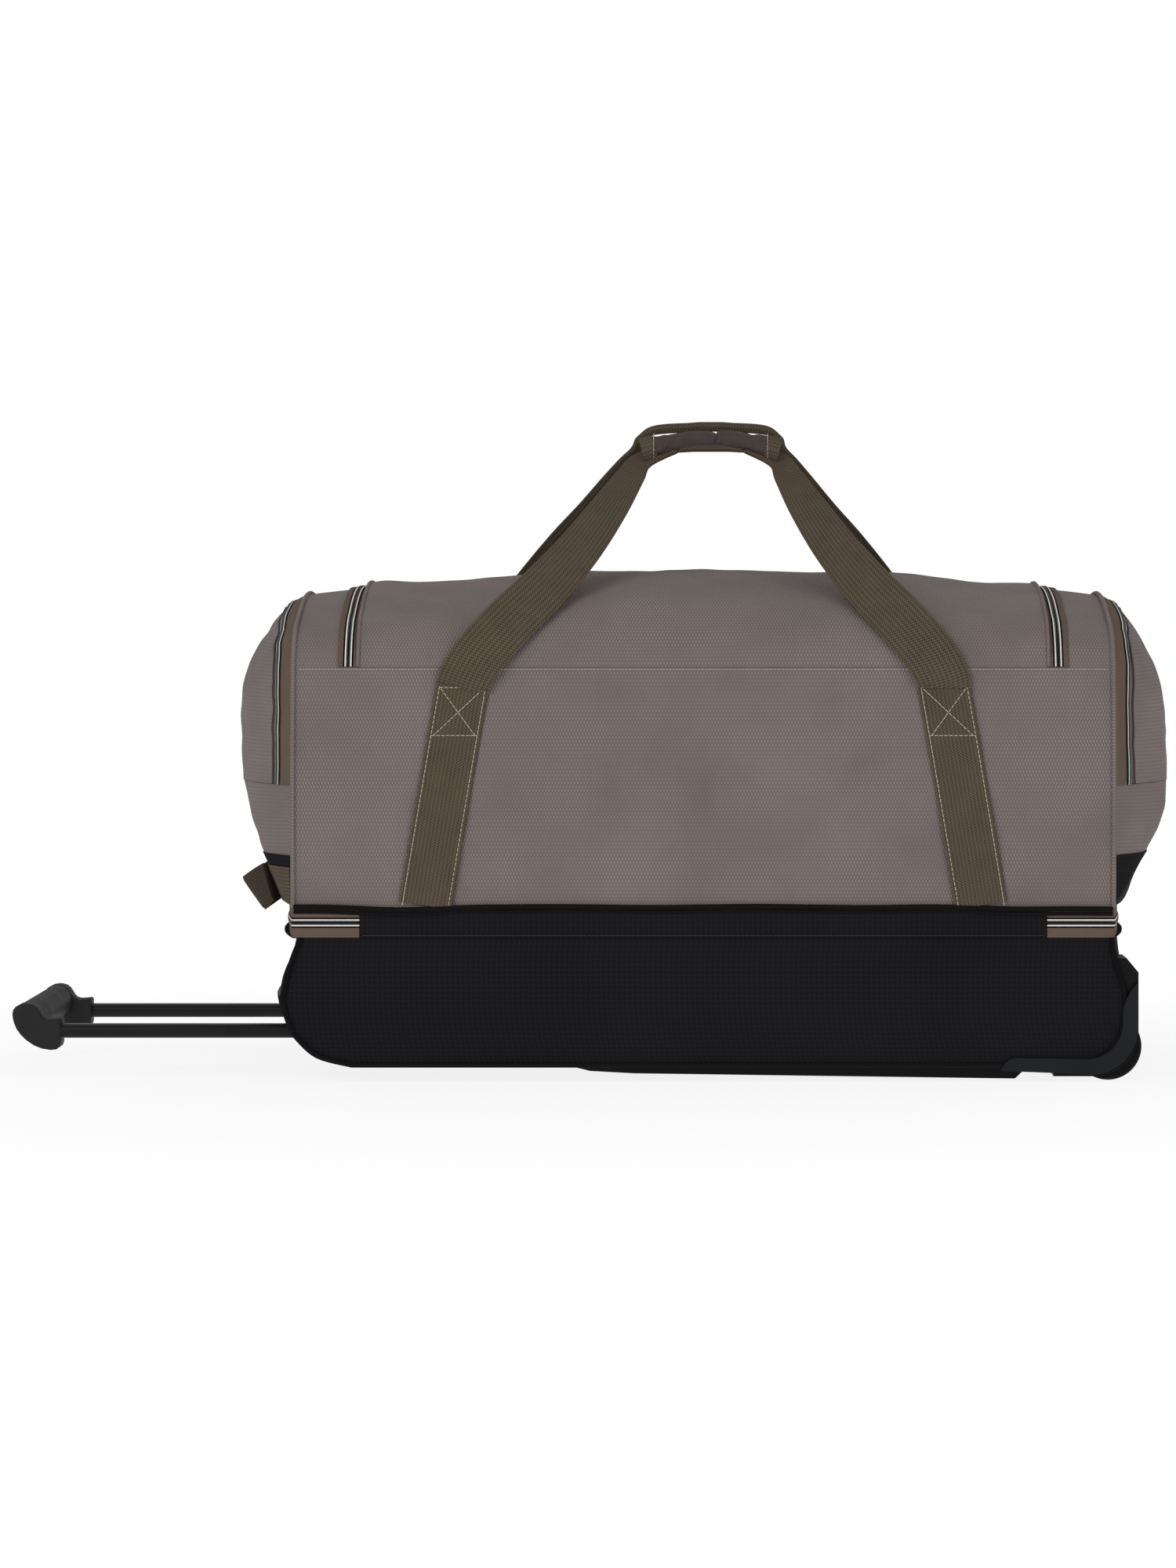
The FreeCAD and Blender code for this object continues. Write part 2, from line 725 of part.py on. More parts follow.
def sewn_strap(sign):
    # Near-side strap stitched flat on the side panel; sign is -1 left, 1 right.
    rise = (strap_top_z - low_z) / strap_steps
    heights = [low_z - strap_spare] + [low_z + i * rise for i in range(1, strap_steps)]
    heights.append(strap_top_z + strap_spare)
    points = []
    for z in heights:
        share = (z - waist_z) / (strap_top_z - waist_z)
        x = strap_x_low + share * (strap_x_top - strap_x_low)
        points.append(V(sign * x, -side_y(z) - strap_off, z))
    count = len(points)
    strap = ribbon(points, [V(0, -1, 0)] * count, [webbing] * count, [webbing_thick] * count)
    return strap.common(box(-big, big, -big, 0, low_z, strap_top_z))


sewn = Part.makeCompound([sewn_strap(-1), sewn_strap(1)])
nodes["sewn_straps_near"] = sewn
nodes["sewn_straps_far"] = flip_y(sewn)

pivot_y = side_y(strap_top_z) + strap_off
start_z = strap_top_z - 12.0
grip_mid = (wrap_left + wrap_right) / 2
# Each point is half span from the grip's middle, depth and height, chosen by eye.
near_route = [
    (strap_x_top + 2.0, pivot_y, start_z),
    (190.0, pivot_y, 360.0),
    (166.0, pivot_y - 12.0, 388.0),
    (138.0, pivot_y - 36.0, 416.0),
    (106.0, pivot_y - 78.0, 454.0),
    (84.0, pivot_y - 118.0, 488.0),
    (68.0, pivot_y - 154.0, 518.0),
    (56.0, 15.0, 534.0),
    (30.0, 14.0, 543.0),
]
far_route = [
    (strap_x_top + 2.0, pivot_y, start_z),
    (193.0, pivot_y, 360.0),
    (174.0, pivot_y - 12.0, 390.0),
    (150.0, pivot_y - 36.0, 421.0),
    (120.0, pivot_y - 78.0, 462.0),
    (96.0, pivot_y - 118.0, 500.0),
    (76.0, pivot_y - 152.0, 532.0),
    (54.0, 13.0, 555.0),
    (30.0, 9.0, 560.5),
]
near_width = [webbing, webbing, webbing, webbing, webbing, 42.0, 34.0, 20.0, 17.0]
far_width = [webbing, webbing, webbing, webbing, webbing, 40.0, 26.0, 12.0, 11.0]
near_thick = [webbing_thick] * 5 + [3.0, 4.0, 5.0, 5.0]
far_thick = [webbing_thick] * 5 + [3.0, 3.4, 4.0, 4.0]


def handle_strap(route, widths, thicks, facing, side):
    count = len(route)
    points = []
    for i, (x, y, z) in enumerate(route):
        lean = grip_mid * i / (count - 1)
        points.append(V(-x + lean, side * y, z))
    points.append(V(grip_mid, side * route[-1][1], route[-1][2] + 1.5))
    for i, (x, y, z) in reversed(list(enumerate(route))):
        lean = grip_mid * i / (count - 1)
        points.append(V(x + lean, side * y, z))
    faces = [facing(i) for i in range(count)]
    faces = faces + faces[-1:] + faces[::-1]
    widths = widths + widths[-1:] + widths[::-1]
    thicks = thicks + thicks[-1:] + thicks[::-1]
    strap = ribbon(points, faces, widths, thicks)
    return strap.common(box(-big, big, -big, big, strap_top_z + body_gap, big))


def near_facing(i):
    return V(0, -1, 0.12 * i)


def far_facing(i):
    return V(0, 1, 0.12 * i) if i < 6 else V(0, 0.25, 1)


near_strap = handle_strap(near_route, near_width, near_thick, near_facing, -1)
nodes["strap_near"] = near_strap
nodes["strap_far"] = handle_strap(far_route, far_width, far_thick, far_facing, 1)


def wrap_solid():
    wires = []
    steps = 4
    for i in range(steps + 1):
        share = i / steps
        x = wrap_left + share * (wrap_right - wrap_left)
        arch_z = 545.0 - 11.0 * (2 * share - 1) ** 2
        slim = 1 - 0.12 * (1 - (2 * share - 1) ** 2)
        lean = -0.36 * (2 * share - 1)
        along = V(1, 0, lean).normalize()
        big_r, small_r = wrap_high / 2 * slim, wrap_deep / 2 * slim
        tall = V(-along.z, 0, along.x)
        ellipse = Part.Ellipse(V(0, 0, 0), big_r, small_r).toShape()
        place = FreeCAD.Matrix(
            tall.x, 0, along.x, x,
            tall.y, 1, along.y, -near_route[-1][1],
            tall.z, 0, along.z, arch_z,
            0, 0, 0, 1)
        wires.append(Part.Wire([ellipse.transformGeometry(place)]))
    return Part.makeLoft(wires, True, False)


nodes["grip_wrap"] = wrap_solid().cut(near_strap)

# End loop on the left end, and the webbing band that it is stitched to
band = dome(band_thick + body_gap).cut(dome(body_gap / 2))
band = band.common(box(panel_half + 2, big, -loop_half - 6, loop_half + 6, band_low, band_high))
nodes["haul_band"] = flip_x(band)
loop_root = -dome_foot - 1.5
loop_mid_z = loop_top_z - loop_wide / 2 - 1.0
loop_points = []
loop_facings = []
for share in (-1.0, -0.93, -0.8, -0.55, 0.0, 0.55, 0.8, 0.93, 1.0):
    bow = 1 - abs(share) ** 5
    loop_points.append(V(loop_root - loop_reach * bow, share * loop_half, loop_mid_z - 17 * bow))
    loop_facings.append(V(-1, 0, -0.25 - 0.25 * bow))
count = len(loop_points)
nodes["haul_loop"] = ribbon(
    loop_points, loop_facings, [loop_wide] * count, [webbing_thick] * count)


# Zip sliders: a rounded body on the zip with a flat pull lying beside it

def slider(along):
    # Built at the origin, lying flat with its pull towards -X, sitting on z = 0.
    body = box(-slider_long / 2, slider_long / 2, -slider_wide / 2, slider_wide / 2, 0, slider_high)
    edges = [e for e in body.Edges if abs(e.tangentAt(e.FirstParameter).z) > 0.9]
    body = body.makeFillet(3.0, edges)
    pull = box(-slider_long / 2 - pull_long + 6, -slider_long / 2 + 6, -3.0, 3.0,
               slider_high - pull_thick, slider_high)
    hole_x = -slider_long / 2 - pull_long + 9
    pull = pull.cut(Part.makeCylinder(1.2, slider_high, V(hole_x, 0, 0)))
    solid = body.fuse(pull).removeSplitter()
    solid.rotate(V(0, 0, 0), V(0, 0, 1), along)
    return solid


def crown_z(y, x):
    sag = crown_drop
    radius = (crown_half ** 2 + sag ** 2) / (2 * sag)
    return crest(x) - radius + math.sqrt(radius ** 2 - y ** 2)


zip_line_y = lid_far_y + lid_tape + body_gap / 2
slope = math.degrees(math.asin(zip_line_y / ((crown_half ** 2 + crown_drop ** 2) / (2 * crown_drop))))
lid_park = 9.0
for name, sign in (("lid_slider_left", -1), ("lid_slider_right", 1)):
    piece = slider(0 if sign < 0 else 180)
    piece.rotate(V(0, 0, 0), V(1, 0, 0), -slope)
    piece.translate(V(sign * lid_park, zip_line_y, crown_z(zip_line_y, 0) + body_gap + 0.1))
    nodes[name] = piece
for name, sign in (("waist_slider_left", -1), ("waist_slider_right", 1)):
    piece = slider(0 if sign < 0 else 180)
    piece.rotate(V(0, 0, 0), V(1, 0, 0), -90)
    piece.translate(V(sign * lid_park, lower_half + body_gap, zip_z + body_gap / 2))
    nodes[name] = piece


# Pocket sliders at the zip's lower end on the far side, running up the straight leg
leg_y = cover_half + body_gap + pocket_tape / 2
slider_z0 = cover_hinge_z + 30.0
slider_z1 = slider_z0 + pocket_slider_travel


def dome_x(y, z):
    hit = dome_outer.common(Part.makeLine(V(panel_half + 1, y, z), V(big, y, z)))
    return hit.BoundBox.XMax


low_x, high_x = dome_x(leg_y, slider_z0), dome_x(leg_y, slider_z1)
run = V(high_x - low_x, 0, slider_z1 - slider_z0).normalize()
side_run = V(dome_x(leg_y + 3, slider_z0) - dome_x(leg_y - 3, slider_z0), 6, 0).normalize()
out = side_run.cross(run).normalize()
turn_in = run.cross(out)
place = FreeCAD.Matrix(
    run.x, turn_in.x, out.x, 0, run.y, turn_in.y, out.y, 0, run.z, turn_in.z, out.z, 0, 0, 0, 0, 1)
piece = slider(0)
piece.transformShape(place)
piece.translate(V(low_x, leg_y, slider_z0) + out * 1.2)
nodes["pocket_slider_right"] = piece
nodes["pocket_slider_left"] = flip_x(piece)

for name, shape in nodes.items():
    assert shape.isValid(), name
    assert shape.Volume > 0, name

os.makedirs("parts", exist_ok=True)
for name, shape in nodes.items():
    shape.translate(V(x_shift, 0, 0))
    shape.exportStep("parts/" + name + ".step")
    b = shape.BoundBox
    print(name, len(shape.Solids), round(shape.Volume), [
        round(v, 1) for v in (b.XMin, b.XMax, b.YMin, b.YMax, b.ZMin, b.ZMax)])
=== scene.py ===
import math

import bpy
import numpy as np
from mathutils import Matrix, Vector, noise


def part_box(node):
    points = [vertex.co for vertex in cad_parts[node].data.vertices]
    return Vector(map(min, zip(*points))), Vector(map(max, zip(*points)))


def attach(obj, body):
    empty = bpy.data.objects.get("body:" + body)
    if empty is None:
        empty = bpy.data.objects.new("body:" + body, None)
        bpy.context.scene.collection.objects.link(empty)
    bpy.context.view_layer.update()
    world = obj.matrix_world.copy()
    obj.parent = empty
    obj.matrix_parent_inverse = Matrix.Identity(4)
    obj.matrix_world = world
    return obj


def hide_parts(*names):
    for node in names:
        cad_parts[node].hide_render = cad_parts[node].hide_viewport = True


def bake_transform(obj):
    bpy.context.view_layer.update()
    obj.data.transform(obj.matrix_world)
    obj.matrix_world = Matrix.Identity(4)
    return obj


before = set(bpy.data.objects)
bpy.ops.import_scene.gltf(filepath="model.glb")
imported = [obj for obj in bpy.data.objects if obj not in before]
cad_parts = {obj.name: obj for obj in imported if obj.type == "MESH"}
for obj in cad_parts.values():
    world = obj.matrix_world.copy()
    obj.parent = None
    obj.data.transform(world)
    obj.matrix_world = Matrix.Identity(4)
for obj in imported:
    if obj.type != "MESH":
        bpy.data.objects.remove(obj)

bl_info = {
    "name": "Rolling Duffel Bag",
    "version": (1, 0, 0),
    "blender": (4, 5, 0),
    "location": "3D View > Sidebar > Duffel",
    "description": "Fabric, webbing, zips and finishes of a rolling duffel bag",
    "category": "Object",
}

MM = 0.001
MIDDLE_X = (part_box("end_wall_left")[0].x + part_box("end_wall_right")[1].x) / 2
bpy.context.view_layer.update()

# The bag's own sizes in millimetres, from the middle of its length and depth and the floor
END = 345.0
WAIST_Z = 147.0
WAIST, BELLY, SEAM = (188.0, WAIST_Z), (193.0, 245.0), (187.0, 350.0)
CROWN_HALF, CROWN_DROP = 140.0, 24.0
CROWN_R = (CROWN_HALF ** 2 + CROWN_DROP ** 2) / (2 * CROWN_DROP)
CROWN_TURN = math.asin(CROWN_HALF / CROWN_R)
CROWN_SHARE = 0.655
POCKET_REACH = 61.0
HEART_Z = 285.0
LID_HALF = 291.0
ZIP_X, ZIP_Y = 300.2, 129.2
LOWER = 190.0
LOWER_FLOOR, LOWER_TOP = 12.0, 121.0
STRAP_TOP = 335.0
STRAP_WIDE = 45.0
SKIN = 1.6
LID_TAPE = 8.9
GRIP_Y = -14.0
# Faces left out of the lower wrap: the trolley's opening and the two wheel wells
HANDLE_OPENING = (-300.0, 127.8, 68.8)
WHEEL_WELL = (295.6, 139.8, 104.4)


def at(x, y, z):
    """A point in millimetres from the middle of the bag, in the row frame."""
    return Vector((x * MM + MIDDLE_X, y * MM, z * MM))


LID_FOLD = ("upper", "lid", at(0, -187, 350), at(0, -180, 368))


def ease(a, b, value):
    """0 below a, 1 above b and smooth between them."""
    t = min(max((value - a) / (b - a), 0.0), 1.0)
    return t * t * (3 - 2 * t)


def mix(a, b, share):
    return a + (b - a) * share


# Shapes of the bag

def arc_point(a, b, c, share):
    """A point on the circle through a, b and c, from a at share 0 to c at share 1."""
    d = 2 * (a[0] * (b[1] - c[1]) + b[0] * (c[1] - a[1]) + c[0] * (a[1] - b[1]))
    sa, sb, sc = (p[0] ** 2 + p[1] ** 2 for p in (a, b, c))
    u = (sa * (b[1] - c[1]) + sb * (c[1] - a[1]) + sc * (a[1] - b[1])) / d
    v = (sa * (c[0] - b[0]) + sb * (a[0] - c[0]) + sc * (b[0] - a[0])) / d
    start = math.atan2(a[1] - v, a[0] - u)
    turn = math.atan2(c[1] - v, c[0] - u) - start
    turn = (turn + math.pi) % (2 * math.pi) - math.pi
    r = math.hypot(a[0] - u, a[1] - v)
    return u + r * math.cos(start + turn * share), v + r * math.sin(start + turn * share)


def side_half(z):
    """Half depth of the long sides at a height."""
    return arc_point(WAIST, BELLY, SEAM, (z - WAIST[1]) / (SEAM[1] - WAIST[1]))[0]


def crest(x):
    return 433.0 - 21.0 * (x / END) ** 2


def over_top(x, t):
    """Depth and height over the top, from the near seam at t -1 to the far one at t 1."""
    top = crest(x)
    side = -1 if t < 0 else 1
    s = abs(t)
    if s <= CROWN_SHARE:
        a = CROWN_TURN * s / CROWN_SHARE
        return side * CROWN_R * math.sin(a), top - CROWN_R * (1 - math.cos(a))
    crown = (CROWN_HALF, top - CROWN_DROP)
    dy, dz = SEAM[0] - crown[0], crown[1] - SEAM[1]
    size = math.hypot(dy, dz)
    mid = ((crown[0] + SEAM[0]) / 2 + 9 * dz / size, (crown[1] + SEAM[1]) / 2 + 9 * dy / size)
    y, z = arc_point(crown, mid, SEAM, (s - CROWN_SHARE) / (1 - CROWN_SHARE))
    return side * y, z


def over_share(y):
    """How far over the top a place beside the middle lies, from 0 to 1 at the waist."""
    return math.asin(y / CROWN_R) / CROWN_TURN * CROWN_SHARE


def ripple(x, y, z, size, depth):
    return noise.noise(Vector((x / size, y / size, z / size))) * depth


def side_skin(x, z, side=-1, lift=0.0):
    """A point of the long side panels with their soft swell and dents."""
    share = (z - WAIST_Z) / (SEAM[1] - WAIST_Z)
    held = math.sin(math.pi * min(max(share, 0), 1))
    edge = 1 - ease(END - 60, END, abs(x))
    soft = ripple(x, side * 90, z * 1.3, 78, 3.4) + ripple(x * 1.6, side * 40, z * 0.8, 30, 1.0)
    pucker = 0.5 * math.sin(x / 7.5 + 2 * math.sin(x / 41)) * (ease(0.8, 1, share) + ease(0.2, 0, share))
    swell = (soft * held + pucker * 0.5) * edge
    return at(x, side * (side_half(z) + swell + lift), z)


def top_skin(x, t, lift=0.0):
    """A point over the top with its soft swell."""
    y, z = over_top(x, t)
    s = abs(t)
    sag = ripple(x, y, z, 110, 4.0) + ripple(x * 1.4, y, z, 38, 1.1)
    held = (1 - ease(0.93, 1.0, s)) * (1 - 0.7 * ease(LID_HALF - 14, ZIP_X, abs(x)))
    swell = sag * held + lift
    ny, nz = y / 420.0, 1.0
    if s > CROWN_SHARE:
        turn = (s - CROWN_SHARE) / (1 - CROWN_SHARE)
        ny = mix(0.34, 1.6, turn) * (1 if t > 0 else -1)
    size = math.hypot(ny, nz)
    return at(x, y + swell * ny / size, z + swell * nz / size)


def end_outline():
    """Distance from the heart of the end to its seam, by the angle from straight up."""
    points = [arc_point(WAIST, BELLY, SEAM, i / 40) for i in range(41)]
    points += [over_top(END, 1 - i / 60) for i in range(61)]
    points += [(188.0 * i / 30, WAIST_Z) for i in range(31)]
    pairs = sorted((math.atan2(y, z - HEART_Z), math.hypot(y, z - HEART_Z)) for y, z in points)
    return np.array(pairs).T


OUTLINE = end_outline()


def end_reach(angle):
    return float(np.interp(abs(angle), OUTLINE[0], OUTLINE[1]))


def end_depth(y, z):
    """How far the domed end stands out from its seam at a depth and height."""
    angle = abs(math.atan2(y, z - HEART_Z))
    r = min(math.hypot(y, z - HEART_Z) / end_reach(angle), 1.0)
    up = math.cos(angle)
    if up < 0:
        foot = math.tan(math.pi - angle) * (HEART_Z - WAIST_Z) / WAIST[0]
        edge = 0.35 * max(1 - foot * foot, 0.0)
        power = mix(1.85, 1.35, edge / 0.35)
        return POCKET_REACH * (1 - (1 - edge) * r ** power)
    share = ease(0.0, 0.9, up)
    return POCKET_REACH * (1 - r ** mix(1.85, 2.3, share)) ** mix(1.0, 0.7, share)


def end_skin(y, z, side, lift=0.0):
    """A point of the domed ends; side is -1 left and 1 right."""
    depth = end_depth(y, z)
    free = ease(2, 26, depth)
    soft = ripple(side * 300, y * 1.2, z, 62, 2.4) + ripple(side * 90, y, z * 1.7, 26, 1.4)
    if side > 0:
        swell = 10 * math.exp(-((z - 218) / 34) ** 2) - 4 * math.exp(-((z - 366) / 22) ** 2)
        soft += swell * (1 - (y / 200) ** 2)
    else:
        dart = math.exp(-((z - 372 - 0.12 * abs(y + 80)) / 7.0) ** 2)
        soft -= 2.6 * dart * ease(-10, 30, abs(y))
    return at(side * (END + depth + soft * free * 0.8 + lift), y, z)


def facing(skin, a, b, step=1.5):
    """Outward direction of a skin of two values, by its slopes."""
    one = skin(a + step, b) - skin(a - step, b)
    two = skin(a, b + step) - skin(a, b - step)
    return one.cross(two).normalized()


# Mesh helpers

def deselect():
    active = bpy.context.view_layer.objects.active
    if active and active.mode != "OBJECT":
        bpy.ops.object.mode_set(mode="OBJECT")
    bpy.ops.object.select_all(action="DESELECT")


def choose(obj):
    deselect()
    obj.select_set(True)
    bpy.context.view_layer.objects.active = obj


def edit(obj, *steps):
    """Runs edit-mode steps on the whole of a piece."""
    choose(obj)
    bpy.ops.object.mode_set(mode="EDIT")
    bpy.ops.mesh.select_all(action="SELECT")
    for step in steps:
        step()
    bpy.ops.object.mode_set(mode="OBJECT")


def shade(obj, degrees=40):
    choose(obj)
    bpy.ops.object.shade_smooth_by_angle(angle=math.radians(degrees))


def laid_grid(name, columns, rows, place, cloth=None):
    """A grid laid on a surface by place(a, b); its UV map is in metres, or what cloth(a, b) says."""
    deselect()
    bpy.ops.mesh.primitive_grid_add(x_subdivisions=columns, y_subdivisions=rows, size=1.0)
    obj = bpy.context.object
    obj.name = obj.data.name = name
    mesh = obj.data
    flat = np.empty(len(mesh.vertices) * 3)
    mesh.vertices.foreach_get("co", flat)
    flat = flat.reshape(-1, 3)
    i = np.rint((flat[:, 0] + 0.5) * columns).astype(int)
    j = np.rint((flat[:, 1] + 0.5) * rows).astype(int)
    if i.max() != columns or len(flat) != (columns + 1) * (rows + 1):
        raise RuntimeError(name + ": the grid has other counts than asked")
    table = np.array([[place(a / columns, b / rows) for b in range(rows + 1)]
                      for a in range(columns + 1)])
    mesh.vertices.foreach_set("co", table[i, j].ravel())
    run = np.zeros(table.shape[:2])
    run[1:] = np.cumsum(np.linalg.norm(np.diff(table, axis=0), axis=2), axis=0)
    run -= run[columns // 2]
    rise = np.zeros(table.shape[:2])
    rise[:, 1:] = np.cumsum(np.linalg.norm(np.diff(table, axis=1), axis=2), axis=1)
    rise = np.repeat(rise.mean(axis=0)[None], columns + 1, axis=0)
    corner = np.empty(len(mesh.loops), int)
    mesh.loops.foreach_get("vertex_index", corner)
    if cloth:
        laid = np.array([[cloth(a / columns, b / rows) for b in range(rows + 1)]
                         for a in range(columns + 1)])
        run, rise = laid[:, :, 0], laid[:, :, 1]
    uv = np.stack([run[i, j], rise[i, j]], axis=1)[corner]
    mesh.uv_layers.active.data.foreach_set("uv", uv.ravel())
    mesh.update()
    return obj


def outward(obj, direction):
    """Turns an open sheet over where its faces point away from a direction."""
    total = sum((f.normal * f.area for f in obj.data.polygons), Vector())
    if total.dot(Vector(direction)) < 0:
        edit(obj, bpy.ops.mesh.flip_normals)


def apply_all(obj):
    choose(obj)
    for mod in list(obj.modifiers):
        bpy.ops.object.modifier_apply(modifier=mod.name)


def dress(obj, *materials):
    obj.data.materials.clear()
    for item in materials:
        obj.data.materials.append(bpy.data.materials[item + FINISH])


def thicken(obj, thick, lining=True):
    """Gives a sheet its thickness inwards; its inner side takes the second material."""
    mod = obj.modifiers.new("Thickness", "SOLIDIFY")
    mod.thickness = thick * MM
    mod.offset = -1
    mod.use_even_offset = False
    mod.material_offset = 1 if lining else 0
    apply_all(obj)


def finish_piece(obj, body, slot, stands_for=()):
    """Binds a piece to its body, or, given a pair of bodies, only bakes its place; hides the solids it stands
    for.
    """
    if isinstance(body, tuple):
        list(body)
        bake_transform(obj)
    else:
        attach(obj, body)
    if stands_for:
        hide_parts(*stands_for)


def finished(obj, finish, degrees, body, slot, stands_for=()):
    """Gives a piece its material, its smooth shading and its body."""
    dress(obj, finish)
    shade(obj, degrees)
    finish_piece(obj, body, slot, stands_for)


def sewn_sheet(obj, direction, finish, thick, body, slot, stands_for=()):
    """Gives a laid sheet its finish outside, the lining inside and its thickness."""
    outward(obj, direction)
    dress(obj, finish, "lining")
    thicken(obj, thick)
    shade(obj, 60)
    finish_piece(obj, body, slot, stands_for)


def panel(name, columns, rows, place, direction, body, finish, stands_for=(), slot="taupe_fabric"):
    """One sewn panel on a surface."""
    obj = laid_grid(name, columns, rows, place)
    sewn_sheet(obj, direction, finish, SKIN, body, slot, stands_for)


def swept(name, points, ups, profile):
    """A closed profile of (across, out) offsets in mm carried along points."""
    points = [Vector(p) for p in points]
    last = len(points) - 1
    frames = []
    for i, point in enumerate(points):
        along = (points[min(i + 1, last)] - points[max(i - 1, 0)]).normalized()
        across = along.cross(ups[i]).normalized()
        frames.append((point, across, across.cross(along)))

    def place(a, b):
        k = round(a * last)
        point, across, out = frames[k]
        shape = profile(k / last) if callable(profile) else profile
        c, o = shape[round(b * len(shape)) % len(shape)]
        return point + across * (c * MM) + out * (o * MM)

    sides = len(profile(0.0) if callable(profile) else profile)
    obj = laid_grid(name, last, sides, place)
    edit(obj, lambda: bpy.ops.mesh.remove_doubles(threshold=0.000004))
    edit(obj, lambda: bpy.ops.mesh.select_all(action="DESELECT"),
         lambda: bpy.ops.mesh.select_mode(type="EDGE"),
         bpy.ops.mesh.select_non_manifold,
         bpy.ops.mesh.edge_face_add)
    edit(obj, lambda: bpy.ops.mesh.normals_make_consistent(inside=False))
    return obj


def round_profile(radius, sides=10):
    turns = [2 * math.pi * k / sides for k in range(sides)]
    return [(radius * math.cos(turn), radius * math.sin(turn)) for turn in turns]


def band_profile(wide, thick, across=6, crown=0.0):
    """A flat band with rounded edges; crown lifts its middle."""
    top = []
    for k in range(across + 1):
        c = -wide / 2 + wide * k / across
        edge = 1.0 if 0 < k < across else 0.45
        top.append((c, thick / 2 * edge + crown * (1 - (2 * c / wide) ** 2)))
    bottom = [(c, min(-thick / 2, o - thick) if 0 < k < across else -thick / 2 * 0.45)
              for k, (c, o) in enumerate(top)]
    return top + bottom[::-1]


def resampled(points, ups, step):
    """The same run with points a step apart, in millimetres."""
    points = [Vector(p) for p in points]
    lengths = [0.0]
    for a, b in zip(points, points[1:]):
        lengths.append(lengths[-1] + (b - a).length)
    count = max(int(round(lengths[-1] / (step * MM))), 2)
    wanted = np.linspace(0, lengths[-1], count + 1)
    rows = np.array([list(p) + list(u) for p, u in zip(points, ups)])
    laid = np.array([np.interp(wanted, lengths, rows[:, k]) for k in range(6)]).T
    return [Vector(r[:3]) for r in laid], [Vector(r[3:]).normalized() for r in laid]


def thread(name, points, ups, body, pitch=None, radius=0.42, slot="webbing", finish="thread"):
    """A line of stitches: one thread that rises and dips along a seam."""
    pitch = pitch or bpy.context.scene.bag_sizes.stitch_pitch / MM
    points, ups = resampled(points, ups, pitch / 6)
    lift = (-0.7, 0.25, 0.5, 0.5, 0.25, -0.7)
    run = [p + u * (lift[k % 6] * MM) for k, (p, u) in enumerate(zip(points, ups))]
    obj = swept(name, run, ups, round_profile(radius, 5))
    finished(obj, finish, 80, body, slot)


# Materials

FINISH = "_finish"


class Finish:
    """A procedural material that is put together node by node."""

    def __init__(self, name, colour, roughness, **sockets):
        self.material = bpy.data.materials.new(name + FINISH)
        self.material.use_nodes = True
        self.tree = self.material.node_tree
        self.shader = self.tree.nodes["Principled BSDF"]
        self.shader.inputs["Base Color"].default_value = (*colour, 1)
        self.shader.inputs["Roughness"].default_value = roughness
        self.material.diffuse_color = (*colour, 1)
        self.colour = colour
        self.height = None
        for key, value in sockets.items():
            self.shader.inputs[key.replace("_", " ").title().replace("Ior", "IOR")].default_value = value

    def node(self, kind, inputs=(), **values):
        made = self.tree.nodes.new(kind)
        for key, value in values.items():
            setattr(made, key, value)
        for key, value in dict(inputs).items():
            if isinstance(value, bpy.types.NodeSocket):
                self.tree.links.new(value, made.inputs[key])
            else:
                made.inputs[key].default_value = value
        return made

    def maths(self, operation, a, b=0.0, c=0.0):
        return self.node("ShaderNodeMath", {0: a, 1: b, 2: c}, operation=operation).outputs[0]

    def place(self, source="UV"):
        """The three parts of a coordinate; UV maps are in metres."""
        where = self.node("ShaderNodeTexCoord").outputs[source]
        return self.node("ShaderNodeSeparateXYZ", {0: where}).outputs

    def noise(self, scale, detail=3.0):
        where = self.node("ShaderNodeTexCoord").outputs["Object"]
        made = self.node("ShaderNodeTexNoise", {"Vector": where, "Scale": scale, "Detail": detail})
        return made.outputs["Fac"]

    def tint(self, factor, low, high):
        """Base colour between two shades of the finish, by a 0 to 1 factor."""
        ramp = self.node("ShaderNodeMix", {"Factor": factor}, data_type="RGBA")
        ramp.inputs[6].default_value = (*[c * low for c in self.colour], 1)
        ramp.inputs[7].default_value = (*[min(c * high, 1) for c in self.colour], 1)
        self.tree.links.new(ramp.outputs[2], self.shader.inputs["Base Color"])

    def gloss(self, factor, low, high):
        value = self.node("ShaderNodeMapRange", {"Value": factor, "To Min": low, "To Max": high})
        self.tree.links.new(value.outputs[0], self.shader.inputs["Roughness"])

    def bump(self, height, distance, strength=1.0):
        made = self.node("ShaderNodeBump", {
            "Height": height, "Distance": distance * MM, "Strength": strength})
        if self.height:
            self.tree.links.new(self.height, made.inputs["Normal"])
        self.height = made.outputs[0]
        self.tree.links.new(self.height, self.shader.inputs["Normal"])


def sine(f, value, pitch):
    """A wave from 0 to 1 with a pitch in millimetres."""
    angle = f.maths("MULTIPLY", value, 2 * math.pi / (pitch * MM))
    return f.maths("MULTIPLY_ADD", f.maths("SINE", angle), 0.5, 0.5)


def linear(r, g, b):
    """Linear colour from 0 to 255 display values."""
    def one(v):
        v /= 255
        return v / 12.92 if v <= 0.04045 else ((v + 0.055) / 1.055) ** 2.4
    return one(r), one(g), one(b)


def lozenges(f, u, v, wide, tall):
    """A lattice of upright lozenges, from 0 between them to 1 at their middles."""
    steep = f.maths("MULTIPLY", v, 1 / tall)
    one = sine(f, f.maths("MULTIPLY_ADD", u, 1 / wide, steep), 1.0)
    two = sine(f, f.maths("SUBTRACT", f.maths("MULTIPLY", u, 1 / wide), steep), 1.0)
    return f.maths("MULTIPLY", one, two)


